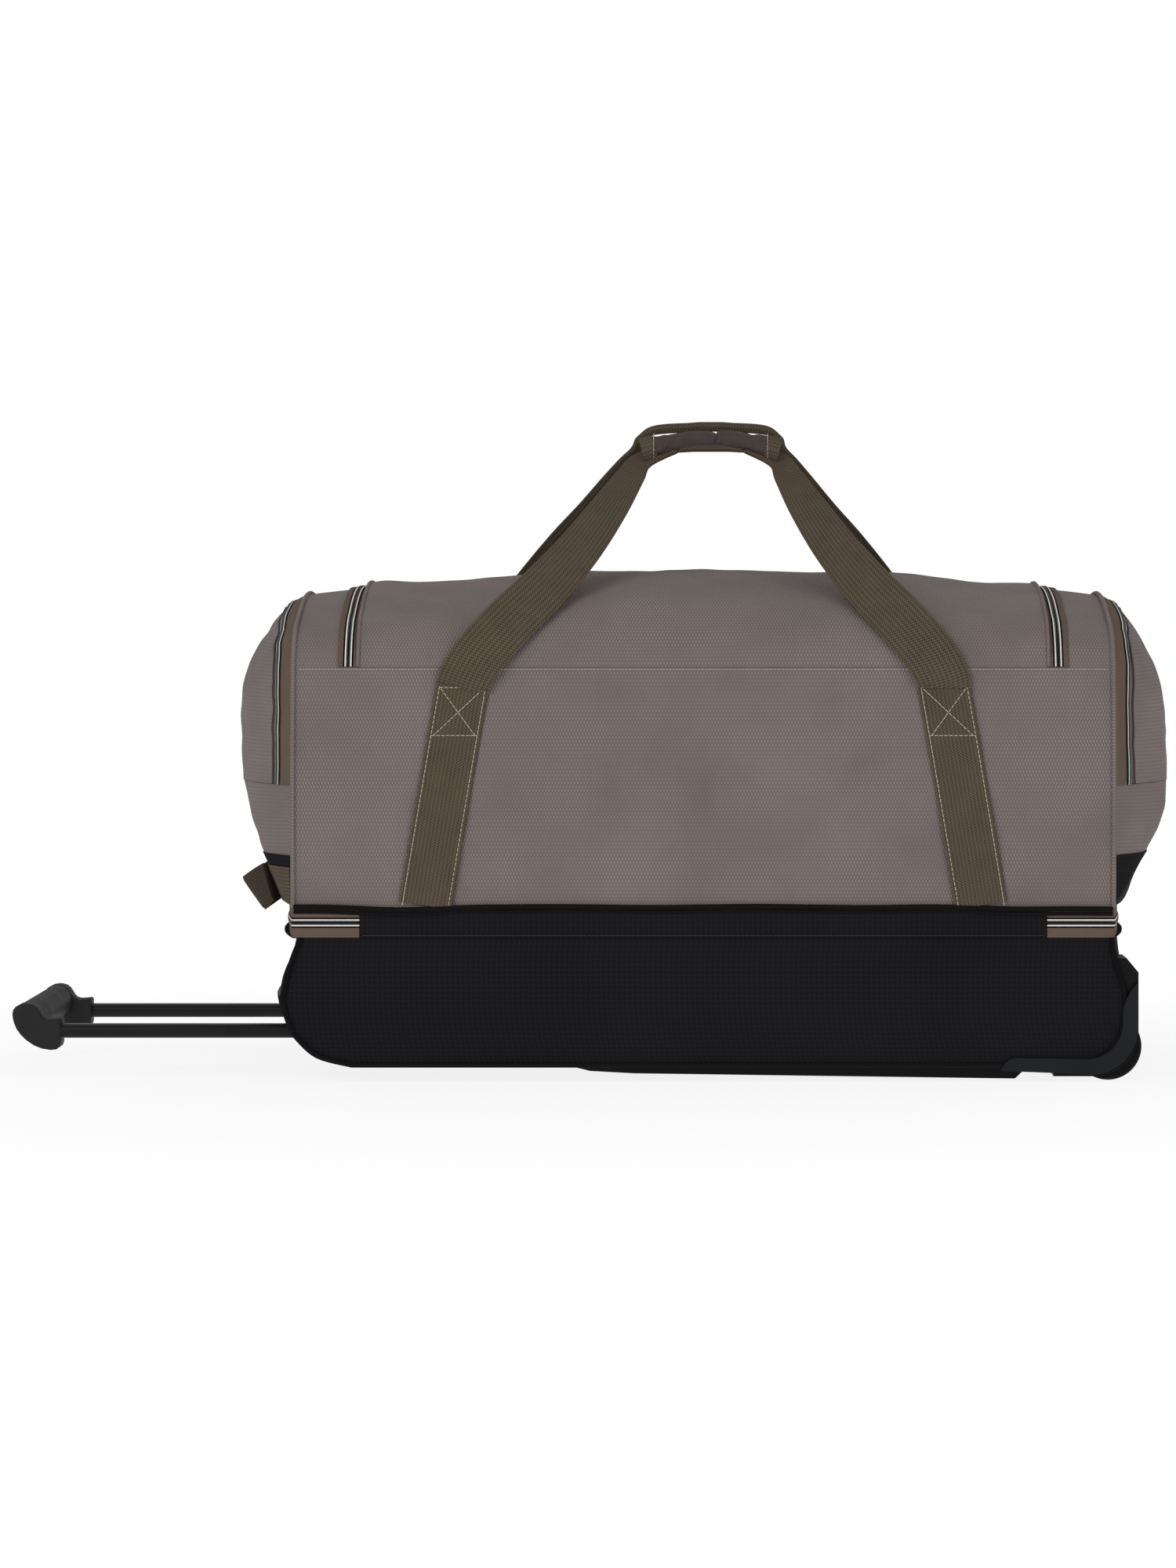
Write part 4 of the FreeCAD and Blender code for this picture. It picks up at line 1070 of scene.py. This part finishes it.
def smooth_run(stations, count):
    """Catmull-Rom through rows of numbers."""
    rows = [stations[0]] + list(stations) + [stations[-1]]
    made = []
    for k in range(count + 1):
        place = k / count * (len(stations) - 1)
        i = min(int(place), len(stations) - 2)
        t = place - i
        a, b, c, d = (np.array(rows[i + n], float) for n in range(4))
        made.append(0.5 * (2 * b + (c - a) * t + (2 * a - 5 * b + 4 * c - d) * t * t
                           + (3 * b - a - 3 * c + d) * t ** 3))
    return made


def sewn_line(sign, side, z, across=0.0, lift=1.9):
    """A point on the strap that is stitched up the side panel."""
    share = (z - WAIST_Z) / (STRAP_TOP - WAIST_Z)
    x = sign * mix(235, 203, share) + across
    return at(x, side * (side_half(z) + lift), z)


GRIP_MID = 7.0
# Half span from the grip's middle, depth, height, width and thickness
FREE_NEAR = (
    (203.6, 191.2, 332.5, 45, 2.4), (201.5, 192.0, 341, 45, 2.4), (190, 190.6, 361, 45, 2.4),
    (166, 178.3, 389, 45, 2.4), (138, 154.3, 418, 44, 2.4), (110, 116, 452, 40, 2.5),
    (87, 74, 486, 34, 2.8), (70, 36.3, 514, 26, 3.6), (60, 16, 529, 20, 5), (30, 14, 543, 15, 7))
FREE_FAR = (
    (203.6, 191.2, 332.5, 45, 2.4), (201.5, 192.0, 341, 45, 2.4), (193, 190.6, 361, 45, 2.4),
    (174, 178.3, 391, 45, 2.4), (150, 154.3, 423, 44, 2.4), (124, 114, 456, 40, 2.5),
    (102, 80, 483, 34, 2.8), (84, 50, 508, 27, 3.4), (71, 28, 527, 20, 4.2), (62, 16, 541, 14, 5.2),
    (59, 11, 550, 13, 6.6), (52, 9, 555.8, 14, 7.2), (40, 8, 558, 15, 7.4), (20, 8, 559, 15, 7.4))


class BAG_OT_straps(bpy.types.Operator):
    """Adds the sewn straps, the two carrying handles and the stitching"""
    bl_idname = "bag.straps"
    bl_label = "Straps"

    def execute(self, context):
        for name, side in (("near", -1), ("far", 1)):
            made = []
            for sign in (-1, 1):
                heights = np.linspace(149, 335, 60)
                points = [sewn_line(sign, side, z) for z in heights]
                obj = swept("sewn_strap", points, [Vector((0, side, 0))] * 60,
                            band_profile(STRAP_WIDE, 2.2, 16))
                dress(obj, "webbing")
                made.append(obj)
                for edge in (-19.5, 19.5):
                    thread("strap_stitch_%s_%d_%d" % (name, sign, edge),
                           [sewn_line(sign, side, z, edge, 3.1) for z in heights],
                           [Vector((0, side, 0))] * 60, "upper")
                for level in (292.5, 333.0):
                    thread("strap_bar_%s_%d_%d" % (name, sign, level),
                           [sewn_line(sign, side, level, c, 3.1) for c in np.linspace(-19.5, 19.5, 12)],
                           [Vector((0, side, 0))] * 12, "upper")
                for corner in (-1, 1):
                    thread("strap_cross_%s_%d_%d" % (name, sign, corner),
                           [sewn_line(sign, side, z, corner * mix(-18, 18, (z - 292) / 40), 3.1)
                            for z in np.linspace(292, 332, 14)], [Vector((0, side, 0))] * 14, "upper")
            obj = joined("sewn_webbing_" + name, *made)
            shade(obj, 50)
            finish_piece(obj, "upper", "webbing", ("sewn_straps_" + name,))
        for name, side, rows in (("near", -1, FREE_NEAR), ("far", 1, FREE_FAR)):
            half = smooth_run(rows, 80)
            run = [(-x + GRIP_MID * k / 80, side * y, z, wide, thick, k / 80)
                   for k, (x, y, z, wide, thick) in enumerate(half)]
            x, y, z, wide, thick = rows[-1]
            run += [(GRIP_MID + c * x, side * y, z + 0.8, wide, thick, 1.0) for c in (-0.5, 0, 0.5)]
            run += [(x + GRIP_MID * k / 80, side * y, z, wide, thick, k / 80)
                    for k, (x, y, z, wide, thick) in reversed(list(enumerate(half)))]
            last = len(run) - 1
            points = [at(*r[:3]) for r in run]
            if side < 0:
                ups = [Vector((0, -1, 1.1 * r[5])).normalized() for r in run]
            else:
                ups = [Vector((0, 1 - ease(0.55, 0.8, r[5]) * 1.4,
                               0.9 * r[5] + 2.4 * ease(0.6, 0.85, r[5]))).normalized()
                       for r in run]
            obj = swept("handle_webbing_" + name, points, ups,
                        lambda share: band_profile(*run[round(share * last)][3:5], 12, 0.6))
            dress(obj, "webbing")
            shade(obj, 50)
            body = "handle_" + name
            finish_piece(obj, ("upper", body, at(0, side * 190, 335), at(0, side * 190, 352)), "webbing",
                         ("strap_" + name,))
        return {"FINISHED"}


class BAG_OT_haul_loop(bpy.types.Operator):
    """Adds the carrying loop on the left end"""
    bl_idname = "bag.haul_loop"
    bl_label = "End loop"

    def execute(self, context):
        points, ups = [], []
        for share in np.linspace(-1, 1, 81):
            bow = 1 - abs(share) ** 5
            points.append(at(-373.0 - 18.0 * bow, share * 120, 165.0 - 13.5 * bow))
            ups.append(Vector((-mix(0.955, 0.805, bow), 0, -mix(0.3, 0.593, bow))))
        obj = swept("haul_loop_webbing", points, ups, band_profile(34.5, 2.6, 10, 0.4))
        # The loop's darker webbing is painted shade
        finished(obj, "loop_webbing", 50, "end_loop", "webbing", ("haul_loop",))
        return {"FINISHED"}


def puffed(obj, voxel, pressure, spare, cap):
    """Cloth simulation with pressure inside; its result is applied, and no point moves past the cap."""
    choose(obj)
    mod = obj.modifiers.new("Remesh", "REMESH")
    mod.mode = "VOXEL"
    mod.voxel_size = voxel * MM
    apply_all(obj)
    mesh = obj.data
    rest = [v.co.copy() for v in mesh.vertices]
    ends = min(c.x for c in rest), max(c.x for c in rest)
    pins = obj.vertex_groups.new(name="pins")
    pins.add([k for k, c in enumerate(rest) if min(c.x - ends[0], ends[1] - c.x) < 4 * MM], 1.0, "REPLACE")
    cloth = obj.modifiers.new("Cloth", "CLOTH")
    cloth.settings.vertex_group_mass = "pins"
    cloth.settings.use_pressure = True
    cloth.settings.uniform_pressure_force = pressure
    cloth.settings.shrink_min = -spare
    cloth.settings.effector_weights.gravity = 0
    cloth.settings.quality = 8
    for step in range(1, 21):
        bpy.context.scene.frame_set(step)
    apply_all(obj)
    bpy.context.scene.frame_set(1)
    for vertex, before in zip(mesh.vertices, rest):
        move = vertex.co - before
        if move.length > cap * MM:
            vertex.co = before + move.normalized() * (cap * MM)
    smooth = obj.modifiers.new("Smooth", "SUBSURF")
    smooth.levels = smooth.render_levels = 1
    apply_all(obj)


WRAP_MID, WRAP_HALF = 6.5, 60.5


def wrap_section(x, grow=0.0):
    """Height of the grip wrap's middle at x, and its half depth and half height."""
    u = (x - WRAP_MID) / WRAP_HALF
    return 547.0 - 9.6 * u * u, 8.8 + 2.2 * u * u + grow, 8.5 + 2.9 * u * u + grow


def wrap_tube(name, start, end, count, grow, pinch=0.0):
    """A closed length of the wrap round the near handle."""
    xs = np.linspace(start, end, count)
    points = [at(x, GRIP_Y, wrap_section(x)[0]) for x in xs]

    def ring(share):
        x = xs[round(share * (count - 1))]
        _, deep, tall = wrap_section(x, grow - pinch * math.exp(-((x - 11.0) / 1.8) ** 2))
        return [(deep * math.cos(a), tall * math.sin(a))
                for a in np.linspace(0, 2 * math.pi, 28, endpoint=False)]
    return swept(name, points, [Vector((0, 0, 1))] * count, ring)


class BAG_OT_grip_wrap(bpy.types.Operator):
    """Adds the padded wrap that holds both carrying handles, with its sewn cuffs"""
    bl_idname = "bag.grip_wrap"
    bl_label = "Grip wrap"

    def execute(self, context):
        obj = wrap_tube("grip_padding", -46, 59, 72, 0.0, 1.3)
        puffed(obj, 1.8, 4.0, 0.08, 1.6)
        finished(obj, "padded_fabric", 80, "handle_near", "webbing", ("grip_wrap",))
        for name, start, end in (("left", -54, -42), ("right", 55, 67)):
            obj = wrap_tube("grip_cuff_" + name, start, end, 9, 0.9)
            finished(obj, "webbing", 50, "handle_near", "webbing")
            seam = end if name == "left" else start
            z, deep, tall = wrap_section(seam, 1.3)
            turn = np.linspace(0, 2 * math.pi, 40)
            x = seam + (-1.5 if name == "left" else 1.5)
            ring = [at(x, GRIP_Y + deep * math.cos(a), z + tall * math.sin(a)) for a in turn]
            thread("grip_cuff_stitch_" + name, ring,
                   [Vector((0, math.cos(a), math.sin(a))) for a in turn], "handle_near", 3.4, 0.34)
        return {"FINISHED"}


# Pull-out handle's grip

# Side view of the grip's ends and of its bar, as X and height
GRIP_END = (
    (-590.4, 38.2), (-592.4, 43.0), (-593.4, 47.0), (-593.9, 50.8), (-593.2, 54.4), (-591.0, 57.2),
    (-587.6, 59.0), (-583.0, 59.8), (-579.3, 59.5), (-575.5, 58.3), (-572.7, 56.0), (-570.4, 52.4),
    (-568.6, 49.4), (-566.2, 47.4), (-563.0, 46.6), (-558.0, 46.8), (-553.4, 47.4), (-552.0, 45.6),
    (-552.0, 36.0), (-552.0, 26.0), (-553.0, 22.6), (-556.0, 20.5), (-561.2, 20.0), (-568.6, 21.2),
    (-575.5, 24.0), (-581.8, 28.3), (-586.8, 33.2))
GRIP_BAR = (
    (-588.0, 38.6), (-590.8, 43.0), (-592.4, 47.0), (-593.0, 50.8), (-592.4, 54.4), (-590.6, 57.2),
    (-587.6, 59.0), (-583.0, 59.8), (-579.3, 59.5), (-575.5, 58.3), (-572.7, 56.0), (-570.4, 52.4),
    (-568.9, 48.0), (-568.4, 43.5), (-569.4, 38.6), (-572.0, 34.4), (-576.0, 32.0), (-580.6, 32.2),
    (-584.6, 34.8))
# These two points take the place of the bar's second and third where the release key sits
KEY_RECESS = [(-582.0, 38.6), (-582.0, 50.8)]
KEY = ((-580.0, 39.4), (-588.6, 39.4), (-591.2, 43.4), (-592.6, 47.0), (-593.0, 50.0), (-580.0, 50.0))


def lengthwise(name, sections):
    """A solid across the bag through sections of (y, outline), each outline in X and height."""
    rows = [(y, [(x + 580.0, z - 40.0) for x, z in outline]) for y, outline in sections]
    last = len(rows) - 1
    return swept(name, [at(-580, y, 40) for y, _ in rows], [Vector((0, 0, 1))] * len(rows),
                 lambda share: rows[round(share * last)][1])


def inset_outline(outline, inset):
    """The same outline drawn in towards its middle."""
    cx = sum(x for x, _ in outline) / len(outline)
    cz = sum(z for _, z in outline) / len(outline)
    made = []
    for x, z in outline:
        size = math.hypot(x - cx, z - cz)
        made.append((x - (x - cx) / size * inset, z - (z - cz) / size * inset))
    return made


class BAG_OT_trolley_grip(bpy.types.Operator):
    """Adds the pull-out handle's grip with its rounded ends and its release key"""
    bl_idname = "bag.trolley_grip"
    bl_label = "Trolley grip"

    def execute(self, context):
        made = []
        for side in (-1, 1):
            ends = [(side * 91.6, 1.4), (side * 92.0, 0.5), (side * 93.0, 0.0), (side * 116.0, 0.0),
                    (side * 117.2, 0.5), (side * 117.8, 1.4), (side * 118.0, 2.8)]
            if side < 0:
                ends = ends[::-1]
            made.append(lengthwise("grip_end", [(y, inset_outline(GRIP_END, inset)) for y, inset in ends]))
        bar = inset_outline(GRIP_BAR, 0.35)
        recess = bar[:1] + KEY_RECESS + bar[3:]
        made.append(lengthwise("grip_bar", [
            (-93, bar), (-60, bar), (-20.41, bar), (-20.4, recess),
            (20.4, recess), (20.41, bar), (60, bar), (93, bar)]))
        for item in made:
            dress(item, "grip_plastic")
            shade(item, 38)
        obj = joined("trolley_grip", *made)
        finish_piece(obj, "trolley", "moulded_plastic", ("grip_body", "grip_cover"))
        steps = ((-19.8, 1.0), (-19.2, 0.3), (-18.4, 0.0), (18.4, 0.0), (19.2, 0.3), (19.8, 1.0))
        obj = lengthwise("release_key", [(y, inset_outline(KEY, inset)) for y, inset in steps])
        finished(obj, "moulded_plastic", 30, "release", "moulded_plastic", ("release_button",))
        return {"FINISHED"}


# Zip sliders

def bevelled_box(size, middle, bevel, segments=2):
    """A box in millimetres with rounded edges."""
    deselect()
    bpy.ops.mesh.primitive_cube_add(size=1.0)
    obj = bpy.context.object
    edit(obj, lambda: bpy.ops.transform.resize(value=[v * MM for v in size]),
         lambda: bpy.ops.mesh.bevel(offset=bevel * MM, segments=segments, affect="EDGES"),
         lambda: bpy.ops.transform.translate(value=[v * MM for v in middle]))
    return obj


def zip_slider(name, origin, pull, out, body, node):
    """A slider at a point of a zip, with its tab lying towards pull."""
    plates = [bevelled_box((12, 9.6, 1.3), (0, 0, 0.7), 0.5),
              bevelled_box((10.5, 8.4, 1.3), (0, 0, 3.4), 0.55),
              bevelled_box((2.2, 3.6, 2.6), (-3.2, 0, 2.0), 0.4),
              bevelled_box((1.8, 1.8, 2.2), (3.4, 0, 4.5), 0.5),
              bevelled_box((1.8, 1.8, 2.2), (-1.8, 0, 4.5), 0.5),
              bevelled_box((7.0, 1.8, 1.2), (0.8, 0, 5.4), 0.45),
              bevelled_box((5.0, 6.0, 1.2), (4.6, 0, 4.9), 0.5),
              bevelled_box((19.0, 5.2, 1.3), (15.5, 0, 4.2), 0.55, 3),
              bevelled_box((15.0, 3.4, 0.6), (16.0, 0, 5.0), 0.25)]
    obj = joined(name, *plates)
    across = out.cross(pull).normalized()
    deep = pull.cross(across).normalized()
    for vertex in obj.data.vertices:
        x, y, z = vertex.co
        vertex.co = origin + pull * x + across * y + deep * z
    obj.data.update()
    finished(obj, "slider_metal", 35, body, "moulded_plastic", (node,))


class BAG_OT_sliders(bpy.types.Operator):
    """Adds the six zip sliders with their tabs"""
    bl_idname = "bag.sliders"
    bl_label = "Zip sliders"

    def execute(self, context):
        share = over_share(ZIP_Y)
        line = arch_line(ZIP_DEPTH)
        y, z = min((p for p in line if p[0] > 0), key=lambda p: abs(p[1] - 284.0))
        for name, side in (("left", -1), ("right", 1)):
            away = Vector((side, 0, 0))
            out = (top_skin(side * 9, share, 1) - top_skin(side * 9, share, 0)).normalized()
            zip_slider("lid_pull_" + name, top_skin(side * 9, share, 1.6), away, out,
                       "lid_slider_" + name, "lid_slider_" + name)
            zip_slider("waist_pull_" + name, at(side * 9, 190.9, 134.2), away, Vector((0, 1, 0)),
                       "waist_slider_" + name, "waist_slider_" + name)
            out = end_normal(y, z, side)
            down = (out.cross(Vector((0, 0, -1)).cross(out))).normalized()
            zip_slider("pocket_pull_" + name, end_skin(y, z, side, 1.2), down, out,
                       "pocket_slider_" + name, "pocket_slider_" + name)
        return {"FINISHED"}


# Moulded parts: copies of the solids with rounded edges

ROUNDED = (
    ("corner_guard_near", 0.9, "guard_plastic"), ("corner_guard_far", 0.9, "guard_plastic"),
    ("skid_tray", 1.0, "moulded_plastic"))


class BAG_OT_moulded_parts(bpy.types.Operator):
    """Adds the guards and the skid tray with rounded edges"""
    bl_idname = "bag.moulded_parts"
    bl_label = "Moulded parts"

    def execute(self, context):
        for name, radius, finish in ROUNDED:
            obj = bpy.data.objects.new(name + "_moulded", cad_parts[name].data.copy())
            context.collection.objects.link(obj)
            edit(obj, lambda: bpy.ops.mesh.remove_doubles(threshold=0.00001),
                 lambda: bpy.ops.mesh.dissolve_limited(angle_limit=math.radians(1.0)))
            mod = obj.modifiers.new("Rounding", "BEVEL")
            mod.width = radius * MM
            mod.segments = 2
            mod.limit_method = "ANGLE"
            mod.angle_limit = math.radians(40)
            apply_all(obj)
            finished(obj, finish, 35, "base", "moulded_plastic", (name,))
        return {"FINISHED"}


# Stage

# Name, place in metres, side in metres and power in watts
LAMPS = (("key", (-1.9, -3.0, 2.4), 2.0, 44),
         ("fill", (2.4, -3.4, 1.6), 2.4, 24),
         ("top", (0.2, 0.9, 3.2), 2.4, 8))
# The photo's viewpoint: its axis passes right of and above the picture's middle
CAMERA_BACK, CAMERA_UP = 4.391, 0.407
CAMERA_LENS, CAMERA_SENSOR = 114.2, 36
PHOTO_TALL_PX, AXIS_RIGHT_PX, AXIS_UP_PX = 2000, 147, 235


class BAG_OT_stage(bpy.types.Operator):
    """Adds the floor, the lights and the camera"""
    bl_idname = "bag.stage"
    bl_label = "Stage"

    def execute(self, context):
        deselect()
        bpy.ops.mesh.primitive_plane_add(size=40, location=(0, 0, 0))
        floor = context.object
        floor.name = floor.data.name = "studio_floor"
        dress(floor, "studio_floor")
        world = bpy.data.worlds.new("studio")
        context.scene.world = world
        world.use_nodes = True
        tree = world.node_tree
        sky = tree.nodes["Background"]
        sky.inputs[0].default_value = (1, 1, 1, 1)
        sky.inputs[1].default_value = 0.5
        backdrop = tree.nodes.new("ShaderNodeBackground")
        backdrop.inputs[0].default_value = (1, 1, 1, 1)
        both = tree.nodes.new("ShaderNodeMixShader")
        tree.links.new(tree.nodes.new("ShaderNodeLightPath").outputs["Is Camera Ray"], both.inputs[0])
        tree.links.new(sky.outputs[0], both.inputs[1])
        tree.links.new(backdrop.outputs[0], both.inputs[2])
        tree.links.new(both.outputs[0], tree.nodes["World Output"].inputs[0])
        for name, place, size, power in LAMPS:
            bpy.ops.object.light_add(type="AREA", location=place)
            lamp = context.object
            lamp.name = lamp.data.name = name + "_light"
            lamp.data.size = size
            lamp.data.energy = power
            aim = Vector((0.09, 0, 0.25)) - lamp.location
            lamp.rotation_euler = aim.to_track_quat("-Z", "Y").to_euler()
        bpy.ops.object.camera_add(location=(MIDDLE_X, -CAMERA_BACK, CAMERA_UP))
        camera = context.object
        camera.name = camera.data.name = "photo_camera"
        camera.data.lens = CAMERA_LENS
        camera.data.sensor_fit = "VERTICAL"
        camera.data.sensor_width = camera.data.sensor_height = CAMERA_SENSOR
        camera.rotation_euler = (math.pi / 2, 0, 0)
        camera.data.shift_x = -AXIS_RIGHT_PX / PHOTO_TALL_PX
        camera.data.shift_y = -AXIS_UP_PX / PHOTO_TALL_PX
        context.scene.camera = camera
        context.scene.view_settings.view_transform = "Standard"
        return {"FINISHED"}


NODE_FINISHES = {
    "moulded_plastic": ("wheel_housing_near", "wheel_housing_far", "handle_cup", "tube_brackets",
                        "tube_bushes", "hub_near", "hub_far"),
    "tube_metal": ("inner_tubes", "outer_tubes", "push_rods"),
    "steel": ("axles",),
    "rubber": ("tyre_near", "tyre_far"),
    "board": ("base_board",),
}


class BAG_OT_node_finishes(bpy.types.Operator):
    """Gives the carried-over solids their finishes"""
    bl_idname = "bag.node_finishes"
    bl_label = "Finishes of the solids"

    def execute(self, context):
        for finish, names in NODE_FINISHES.items():
            for name in names:
                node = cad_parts[name]
                node.data.materials.clear()
                node.data.materials.append(bpy.data.materials[finish + FINISH])
        return {"FINISHED"}


class BAG_OT_materials(bpy.types.Operator):
    """Adds every finish of the bag"""
    bl_idname = "bag.materials"
    bl_label = "Materials"

    def execute(self, context):
        make_materials(context.scene.bag_colours)
        return {"FINISHED"}


class BAG_PT_panel(bpy.types.Panel):
    """Lists the bag's pieces and their sizes and colours"""
    bl_idname = "BAG_PT_panel"
    bl_label = "Duffel bag"
    bl_space_type = "VIEW_3D"
    bl_region_type = "UI"
    bl_category = "Duffel"

    def draw(self, context):
        for group in (context.scene.bag_sizes, context.scene.bag_colours):
            for key in group.__annotations__:
                self.layout.prop(group, key)
        for operator in OPERATORS:
            self.layout.operator(operator.bl_idname)


OPERATORS = (
    BAG_OT_materials,
    BAG_OT_node_finishes,
    BAG_OT_upper_panels,
    BAG_OT_lid,
    BAG_OT_ends,
    BAG_OT_lid_zip,
    BAG_OT_lower_panels,
    BAG_OT_waist,
    BAG_OT_straps,
    BAG_OT_haul_loop,
    BAG_OT_grip_wrap,
    BAG_OT_trolley_grip,
    BAG_OT_sliders,
    BAG_OT_moulded_parts,
    BAG_OT_stage,
)
CLASSES = (BagColours, BagSizes, *OPERATORS, BAG_PT_panel)


def register():
    for item in CLASSES:
        bpy.utils.register_class(item)
    bpy.types.Scene.bag_colours = bpy.props.PointerProperty(type=BagColours)
    bpy.types.Scene.bag_sizes = bpy.props.PointerProperty(type=BagSizes)


def unregister():
    del bpy.types.Scene.bag_sizes
    del bpy.types.Scene.bag_colours
    for item in reversed(CLASSES):
        bpy.utils.unregister_class(item)


def main():
    register()
    for operator in OPERATORS:
        group, name = operator.bl_idname.split(".")
        getattr(getattr(bpy.ops, group), name)()


if __name__ == "__main__":
    main()
